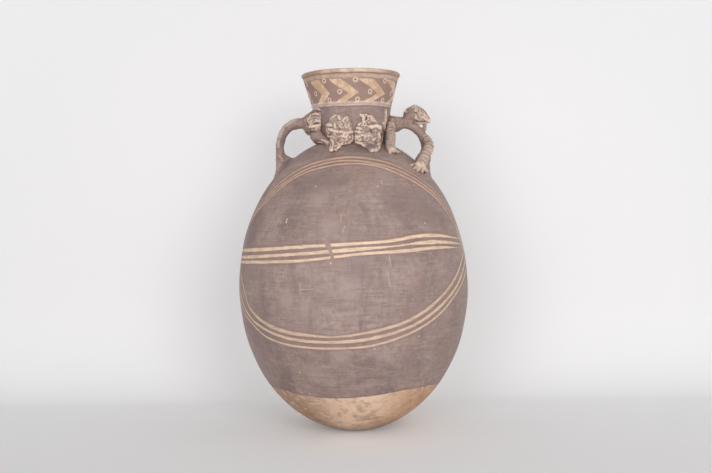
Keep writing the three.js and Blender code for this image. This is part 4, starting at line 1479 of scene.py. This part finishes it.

# %% [markdown]
# These are the places of the marks. Each band of the collar has a soft start and end, as heights in mm
# (LIP_FRONT in degrees round the jar). Blooms, scratches and chips are runs of places given as the turn
# in degrees from the front and the height in mm. A run of one place is a spot.

# %% Where the marks lie
# Painted shade: the dark band just under the collar's raised line.
SHADE_UNDER_COLLAR_LINE = ((379.6, 380.8), (381.4, 382.0))
FOOT_LINE = ((381.6, 382.4), (386.2, 387.0))
COLLAR_GROUND = ((385.0, 386.0), (411.0, 413.0))
CREAM_BAND = (412.4, 413.6)
LIP_LINE = ((416.6, 417.4), (418.2, 419.0))
LIP_START = (418.6, 419.4)
LIP_FRONT = ((-50.0, -5.0), (10.0, 60.0))
# Painted shadow: runs where the deep pocket beside the right handle is coloured near-black.
POCKET_SHADOW = [[(74, 354.5), (71.5, 350), (70.8, 345), (73, 341)], [(70.8, 345), (58, 337.5)]]
LIMB_PATCH = [[(74, 236), (77, 218)]]
PALE_BLOOMS = [
    [(-20, 276)], [(-0.7, 185)], [(-23, 159)], [(-32, 165)], [(-22, 84)], [(13.4, 106)], [(-7, 105)],
    [(-11.6, 246)], [(38, 268)],
]
RED_BLOOMS = [[(31, 183)], [(55, 105)], [(40, 262), (52, 240)], [(6, 300)], [(-38, 96)]]
DARK_BLOOMS = [
    [(26, 272), (44, 262)], [(-62, 250), (-70, 190)], [(-52, 110), (-64, 140)], [(-12, 296), (-34, 290)],
    [(2, 200)], [(28, 92)],
]
SCRATCHES = [
    [(17.1, 213), (17.7, 201.3)], [(15.9, 196.1), (17, 180.1)], [(-24.9, 183.8), (-24.8, 172)],
    [(-24.8, 177.4), (-18.2, 178.4)], [(31.8, 215.5), (41, 213.2)], [(-6.1, 256.9), (-5.8, 249.4)],
    [(-3.9, 245.1), (-4.9, 238.7)],
]
CHIPS = [
    [(16, 287.4)], [(19.2, 291.6)], [(-23.3, 288.6)], [(-36.8, 253), (-36.8, 249)], [(40.5, 246.6)],
    [(32.9, 123.4)], [(-34.5, 58.3)], [(-28.9, 58.4)], [(-30.4, 83.9)], [(9.8, 112.9)], [(-24.7, 114.1)],
    [(-10.3, 205.8)],
]
BREAK_TOP = [[(-12.4, 227.2), (-11, 221.5)]]
BREAK_END = [[(-11, 221.5), (-9.8, 214), (-9.2, 206.9)]]
BASE_SCRATCHES = [
    [(-58, 30), (-40, 36)], [(-50, 22), (-30, 24)], [(-34, 44), (-22, 47)], [(-20, 14), (-2, 17)],
    [(20, 30), (38, 26)],
]

print("blooms:", len(PALE_BLOOMS + RED_BLOOMS + DARK_BLOOMS), "scratches and chips:", len(SCRATCHES + CHIPS))

# %% [markdown]
# The slip comes first, with broad pale, red and dark blooms over it. Low down it ends in a ragged edge
# that is a little darker. The bare clay below is palest in the middle of the front and browner towards
# the sides, with cloudy patches and a few scratches.

# %% Slip over the bare base
painted_jar, w, shader = new_finish("painted_jar")
slip = use(w, old_slip)
bare_gap, round_turn, outside = w.split(w.kept("marks", "Vector"))
colour = w.layered(
    slip["Colour"],
    (w.times(strokes(w, PALE_BLOOMS, 2.0, 15.0, 14.0, 60.0), 0.5), tone(174, 153, 146)),
    (w.times(strokes(w, RED_BLOOMS, 2.0, 20.0, 16.0, 50.0), 0.3), tone(160, 129, 117)),
    (w.times(strokes(w, DARK_BLOOMS, 2.0, 26.0, 18.0, 40.0), 0.5), tone(128, 108, 107)),
)
bare_tone = w.layered(
    tone(174, 140, 117),
    (w.spread(round_turn, -45.0, 0.0), tone(238, 205, 178)),
    (w.spread(round_turn, 8.0, 42.0, 0.0, 0.85), tone(196, 152, 120)),
    (w.spread(w.noise(w.place(), 34.0, 4.0, 0.6, 0.5), 0.46, 0.66, 0.0, 0.65), tone(166, 133, 110)),
    (w.spread(w.noise(w.place(), 120.0, 5.0, 0.7), 0.5, 0.66, 0.0, 0.55), tone(232, 212, 190)),
    (w.spread(w.noise(w.place(), 90.0, 5.0, 0.7), 0.48, 0.34, 0.0, 0.45), tone(148, 116, 96)),
    (w.times(strokes(w, BASE_SCRATCHES, 0.3, 0.7, 1.6), 0.6), tone(233, 215, 196)),
    (w.spread(bare_gap, 38.0, 56.0, 0.0, 0.6), tone(160, 132, 116)),
)
slip_edge = w.plus(bare_gap, w.times(w.stray(w.place(), 110.0, 5.0, 0.7), 3.2))
bare = w.spread(slip_edge, -0.2, 0.4)
rim_of_slip = w.times(w.spread(slip_edge, -2.2, -0.3), 0.4)
colour = w.layered(colour, (rim_of_slip, tone(118, 95, 88)), (bare, bare_tone))
print("under the paint:", len(painted_jar.node_tree.nodes), "nodes")

# %% [markdown]
# The three sets of lines go on next. A slanting flaw crosses the belly band, and breaks its top line
# more widely than the others. The collar has a redder ground with the arrowheads and rings on it, a pale
# line at its foot with a band of painted shade under it, a cream band at its top and a pale lip.

# %% Painted lines and the collar
broken = w.most(strokes(w, BREAK_TOP, 2.4, 0.8, 2.4, 130.0), strokes(w, BREAK_END, 1.3, 0.7, 1.6, 130.0))
whole = w.minus(1.0, broken)
drawn_lines = []
for name, strengths, wear, halo, tint in (
    ("shoulder_arc", (0.95, 1.0, 1.0), 0.64, 0.8, tone(211, 178, 156)),
    ("belly_band", (1.0, 1.0, 0.95), 0.66, 0.6, tone(236, 207, 178)),
    ("lower_arc", (0.9, 1.0, 0.95), 0.64, 0.6, tone(218, 192, 168)),
):
    lines = use(w, brush_lines, Distances=w.kept(name, "Vector"), Strengths=strengths, Wear=wear)
    drawn_lines.append(w.times(lines["Line"], whole))
    dragged = w.times(lines["Halo"], halo, whole)
    colour = w.layered(colour, (dragged, tone(143, 113, 102)), (drawn_lines[-1], tint))

collar = use(w, collar_ornament)
z = collar["Height"]
mottle = w.spread(w.noise(w.place(), 90.0, 5.0, 0.65), 0.36, 0.64)


def mottled(dark, pale):
    return w.mix(mottle, tone(*dark), tone(*pale))


lip_sides = mottled((160, 131, 108), (190, 160, 136))
lip_front = mottled((198, 170, 146), (230, 208, 188))
colour = w.layered(
    colour,
    (w.times(w.between(z, *COLLAR_GROUND), 0.65), tone(158, 125, 111)),
    (collar["Arrow"], mottled((197, 160, 131), (226, 198, 171))),
    (collar["Heart"], tone(128, 98, 88)),
    (w.times(collar["Ring"], 0.85), tone(222, 197, 177)),
    (w.times(w.between(z, *FOOT_LINE), 0.6), mottled((214, 186, 168), (244, 222, 204))),
    # painted shade under the collar's raised line
    (w.times(w.between(z, *SHADE_UNDER_COLLAR_LINE), 0.5), tone(120, 96, 88)),
    (w.times(w.spread(z, *CREAM_BAND), 0.75), mottled((190, 156, 134), (212, 184, 162))),
    (w.times(w.between(z, *LIP_LINE), 0.7), tone(120, 94, 80)),
    (w.spread(z, *LIP_START), w.mix(w.between(round_turn, *LIP_FRONT), lip_sides, lip_front)),
)
colour = w.mix(outside, mottled((150, 122, 108), (176, 148, 130)), colour)
print("sets of lines:", len(drawn_lines))

# %% [markdown]
# Last come a painted shadow, the near-black pocket beside the right handle, which is repeated half a
# turn round, then a pale patch on the right side and the marks of age, scratches and chips. Paint
# stands up a little, and what is broken, scratched or chipped lies lower.

# %% Wear, painted shadow and relief
pocket_shadow_both = POCKET_SHADOW + [[(180 + turn, z) for turn, z in run] for run in POCKET_SHADOW]
scratched = w.times(strokes(w, SCRATCHES, 0.15, 0.55, 0.7), 0.6)
chipped = strokes(w, CHIPS, 0.45, 0.6, 0.9)
colour = w.layered(
    colour,
    # painted shadow: the pocket beside the right handle, near-black
    (strokes(w, pocket_shadow_both, 2.2, 2.0, 1.0), tone(44, 33, 29)),
    (w.times(strokes(w, LIMB_PATCH, 2.0, 7.0, 8.0, 90.0), 0.6), tone(205, 183, 165)),
    (scratched, tone(212, 186, 166)),
    (w.times(chipped, 0.9), tone(232, 217, 202)),
)

w.feed(shader.inputs["Base Color"], colour)
w.feed(shader.inputs["Roughness"], w.plus(slip["Roughness"], w.times(bare, 0.15)))
painted_height = w.plus(slip["Height"], w.times(w.most(*drawn_lines), 0.35))
lost_height = w.times(w.plus(broken, scratched, chipped), 0.4)
raise_relief(w, shader, w.minus(painted_height, lost_height), 0.0004)
print("finish:", painted_jar.name)

# %% [markdown]
# The animals wear the same slip, so the colour runs on across the joint. Hands rubbed what stands out,
# and pale slip was dabbed on the ridges, fingers and lips, so proud and painted spots go to cream. The
# creases are painted a dark red-brown as shade, and the pocket behind the right hind leg near-black as
# its shadow.

# %% Effect and finish: rubbed animals with painted shade


def wear_and_shade_recipe(w, given):
    where = w.place()
    speckle = w.stray(where, 260.0, 4.0, 0.7)
    patchy = w.stray(where, 110.0, 4.0, 0.65)
    proud = w.plus(given["Proud"], w.plus(w.times(speckle, 1.3), w.times(patchy, 2.2)))
    worn = w.spread(proud, given["Rub from"], w.plus(given["Rub from"], 0.6))
    dabbed = w.times(given["Paint"], w.spread(proud, given["Dab from"], w.plus(given["Dab from"], 0.4)))
    return {
        "Cream": w.most(w.times(worn, given["Rub"]), dabbed),
        # Crease is painted shade: darker where the clay lies low.
        "Crease": w.spread(proud, given["Crease from"], w.minus(given["Crease from"], 0.6)),
        # Paint below nought is painted shadow: the near-black pocket behind the right hind leg.
        "Pocket shadow": w.spread(given["Paint"], -0.2, -0.8),
    }


ridge_wear_and_crease_shade = effect(
    "ridge_wear_and_crease_shade",
    {
        "Proud": (NUMBER, 0.0),
        "Paint": (NUMBER, 0.0),
        "Rub": (NUMBER, 0.6),
        "Rub from": (NUMBER, 0.35),
        "Dab from": (NUMBER, -0.1),
        "Crease from": (NUMBER, -0.05),
    },
    {"Cream": NUMBER, "Crease": NUMBER, "Pocket shadow": NUMBER},
    wear_and_shade_recipe,
)


def animal_finish(name, rub, rub_from, crease_from):
    finish, w, shader = new_finish(name)
    slip = use(w, old_slip, Marks=0.7, Base=tone(155, 131, 121), Cloud=tone(172, 147, 134))
    limits = {"Rub": rub, "Rub_from": rub_from, "Crease_from": crease_from}
    wear = use(w, ridge_wear_and_crease_shade, Proud=w.kept("proud"), Paint=w.kept("paint"), **limits)
    colour = w.layered(
        slip["Colour"],
        # painted shade: creases darkened to red-brown
        (w.times(wear["Crease"], 0.8), tone(112, 80, 68)),
        (w.math("MULTIPLY", wear["Cream"], 0.9, clamp=True), tone(236, 212, 192)),
        # painted shadow in the pocket behind the right hind leg
        (wear["Pocket shadow"], tone(46, 34, 30)),
    )
    w.feed(shader.inputs["Base Color"], colour)
    w.feed(shader.inputs["Roughness"], slip["Roughness"])
    raise_relief(w, shader, slip["Height"], 0.0005)
    return finish


handle_finish = animal_finish("handles_worn_and_shaded", 0.75, 0.5, 0.0)
figure_finish = animal_finish("figures_worn_and_shaded", 0.95, 0.1, -0.3)
print("finishes:", handle_finish.name, figure_finish.name)

# %% [markdown]
# Each piece gets its finish, rides on the jar's one body and hides the CAD nodes it stands for.

# %% Put the pieces in place
FIGURE_PARTS = {
    "right": ("body", "back_ridge", "head", "paw", "eye_ring", "arm", "foot"),
    "left": ("body", "leg", "head", "ear", "arm", "paw", "eye_ring"),
}
WALL_NODES = (
    "base_bowl", "lower_wall", "belly_wall", "upper_wall", "shoulder", "neck_tube", "collar", "rim_coil",
)
LEFT_NODES = ["left_handle", "left_arm_front", "left_arm_back"]
LEFT_NODES += ["left_head_" + part for part in ("skull", "upper_lip", "lower_lip", "nose", "eye", "jaw")]
RIGHT_NODES = ["right_handle", "right_rump"]
RIGHT_NODES += [f"right_{leg}_leg_{side}" for leg in ("hind", "fore") for side in ("front", "back")]
RIGHT_HEAD_PARTS = ("skull", "muzzle", "jaw", "near_ear", "crown", "brow", "eye")
RIGHT_NODES += ["right_head_" + part for part in RIGHT_HEAD_PARTS]


def settle(piece, finish, nodes):
    piece.data.materials.append(finish)
    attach(piece, "root")
    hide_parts(*nodes)


settle(jar_wall, painted_jar, WALL_NODES)
settle(left_handle_animal, handle_finish, LEFT_NODES)
settle(right_handle_animal, handle_finish, RIGHT_NODES)
for piece, side, which in (
    (front_left_figure, "front", "left"),
    (front_right_figure, "front", "right"),
    (back_left_figure, "back", "left"),
    (back_right_figure, "back", "right"),
):
    nodes = [f"{side}_{which}_figure_{part}" for part in FIGURE_PARTS[which]]
    settle(piece, figure_finish, nodes)
print("pieces with a finish:", sum(finish.users for finish in (painted_jar, handle_finish, figure_finish)))

# %% [markdown]
# The room is a wide pale floor that curves up into a card of paper close behind the jar, which catches
# the jar's faint shadow. Far away both take the colour of the air, and so does the floor past the card,
# so that no edge shows. The card is clear when seen from behind. The paper itself glows a little to the
# eye, which keeps it pale without more light on the jar.

# %% Floor and paper card
AIR = tone(240, 239, 240)
FLOOR_HALF = 6.0
CARD_START = 0.14
CARD_BEND = 0.11
CARD_HALF = 0.9
CARD_TOP = 1.0
FLOOR_ONLY = 0.00001
PAPER_GLOW = 0.12


def flat_mesh(name, points, faces):
    mesh = bpy.data.meshes.new(name)
    mesh.from_pydata(points, [], faces)
    mesh.polygons.foreach_set("use_smooth", [True] * len(faces))
    made = bpy.data.objects.new(name, mesh)
    bpy.context.scene.collection.objects.link(made)
    return made


def seen_directly(w):
    """One for what the eye, a mirror or clear glass sees, nought for light that bounces."""
    path = w.node("LightPath").outputs
    total = w.plus(path["Is Camera Ray"], path["Is Glossy Ray"])
    return w.math("ADD", total, path["Is Transmission Ray"], clamp=True)


def joined_shaders(w, kind, *inputs):
    made = w.node(kind)
    for socket, value in zip(made.inputs, inputs):
        w.feed(socket, value)
    return made.outputs[0]


floor_corners = [(x * FLOOR_HALF, y * FLOOR_HALF, 0.0) for x, y in ((-1, -1), (1, -1), (1, 1), (-1, 1))]
floor = flat_mesh("pale_floor", floor_corners, [(0, 1, 2, 3)])
bend = np.linspace(0, math.pi / 2, 25)
card_side = [(CARD_START + CARD_BEND * math.sin(a), CARD_BEND * (1 - math.cos(a))) for a in bend]
card_side.append((CARD_START + CARD_BEND, CARD_TOP))
card_points = [(x, y, z) for y, z in card_side for x in (-CARD_HALF, CARD_HALF)]
card_faces = [(2 * i, 2 * i + 1, 2 * i + 3, 2 * i + 2) for i in range(len(card_side) - 1)]
card = flat_mesh("paper_card", card_points, card_faces)

pale_paper, w, shader = new_finish("pale_paper")
where = w.place()
x, y, z = w.split(where)
# Painted shade: the floor is coloured a little darker towards the front.
near_tone = w.mix(w.spread(y, -0.3, CARD_START), tone(230, 229, 229), tone(241, 241, 241))
w.feed(shader.inputs["Base Color"], w.mix(w.spread(z, 0.0, 0.13), near_tone, tone(238, 237, 238)))
shader.inputs["Roughness"].default_value = 0.9
shader.inputs["Specular IOR Level"].default_value = 0.1
glow = w.node("Emission")
glow.inputs["Color"].default_value = AIR
direct = seen_directly(w)
w.feed(glow.inputs["Strength"], w.times(direct, PAPER_GLOW))
lit = joined_shaders(w, "AddShader", shader.outputs[0], glow.outputs[0])
air = w.node("Emission")
air.inputs["Color"].default_value = AIR
distance = w.vector("LENGTH", where)
w.feed(air.inputs["Strength"], w.spread(distance, 0.3, 0.9, 0.86, 1.0))
on_floor = w.math("LESS_THAN", z, FLOOR_ONLY)
past_the_card = w.times(w.spread(y, CARD_START, CARD_START + 0.18), on_floor)
far = w.most(w.spread(distance, 0.5, 0.95), past_the_card)
paper = joined_shaders(w, "MixShader", w.times(far, direct), lit, air.outputs[0])
behind = w.node("NewGeometry").outputs["Backfacing"]
card_middle = w.times(w.fade(w.math("ABSOLUTE", x), 0.45, 0.85), w.fade(z, 0.6, 0.95))
solid = w.most(w.times(card_middle, w.minus(1.0, behind)), on_floor)
clear = w.node("BsdfTransparent").outputs[0]
end = pale_paper.node_tree.nodes["Material Output"]
w.feed(end.inputs["Surface"], joined_shaders(w, "MixShader", solid, clear, paper))
for piece in (floor, card):
    piece.data.materials.append(pale_paper)
print("stage:", floor.name, card.name)

# %% [markdown]
# Two soft lamps stand in front and two at the sides, hardly higher than the jar, so the shadows are
# faint and a colour shows about as it was mixed. The air lights the jar from all round at about a third
# of the brightness that the eye sees, because a full white room would wash the dark slip out.

# %% Lamps and the air
AIR_LIGHT = 0.36
LAMP_AIM = (0, 0, 0.22)


def soft_lamp(name, place, size, power):
    data = bpy.data.lights.new(name, "AREA")
    data.shape = "DISK"
    data.size = size
    data.energy = power
    lamp = bpy.data.objects.new(name, data)
    direction = Matrix.Translation(LAMP_AIM).translation - Matrix.Translation(place).translation
    lamp.matrix_world = Matrix.Translation(place) @ direction.to_track_quat("-Z", "Y").to_matrix().to_4x4()
    bpy.context.scene.collection.objects.link(lamp)


soft_lamp("right_lamp", (0.5, -1.6, 0.6), 0.75, 9.5)
soft_lamp("left_lamp", (-0.5, -1.6, 0.55), 0.75, 7.8)
soft_lamp("right_side_lamp", (1.6, -0.5, 0.4), 0.9, 4.0)
soft_lamp("left_side_lamp", (-1.6, -0.6, 0.4), 0.9, 2.5)
world = bpy.data.worlds.new("room")
bpy.context.scene.world = world
world.use_nodes = True
w = Wires(world.node_tree)
room = world.node_tree.nodes["Background"]
room.inputs["Color"].default_value = AIR
w.feed(room.inputs["Strength"], w.spread(seen_directly(w), 0.0, 1.0, AIR_LIGHT, 1.0))
print("lamps:", len(bpy.data.lights))
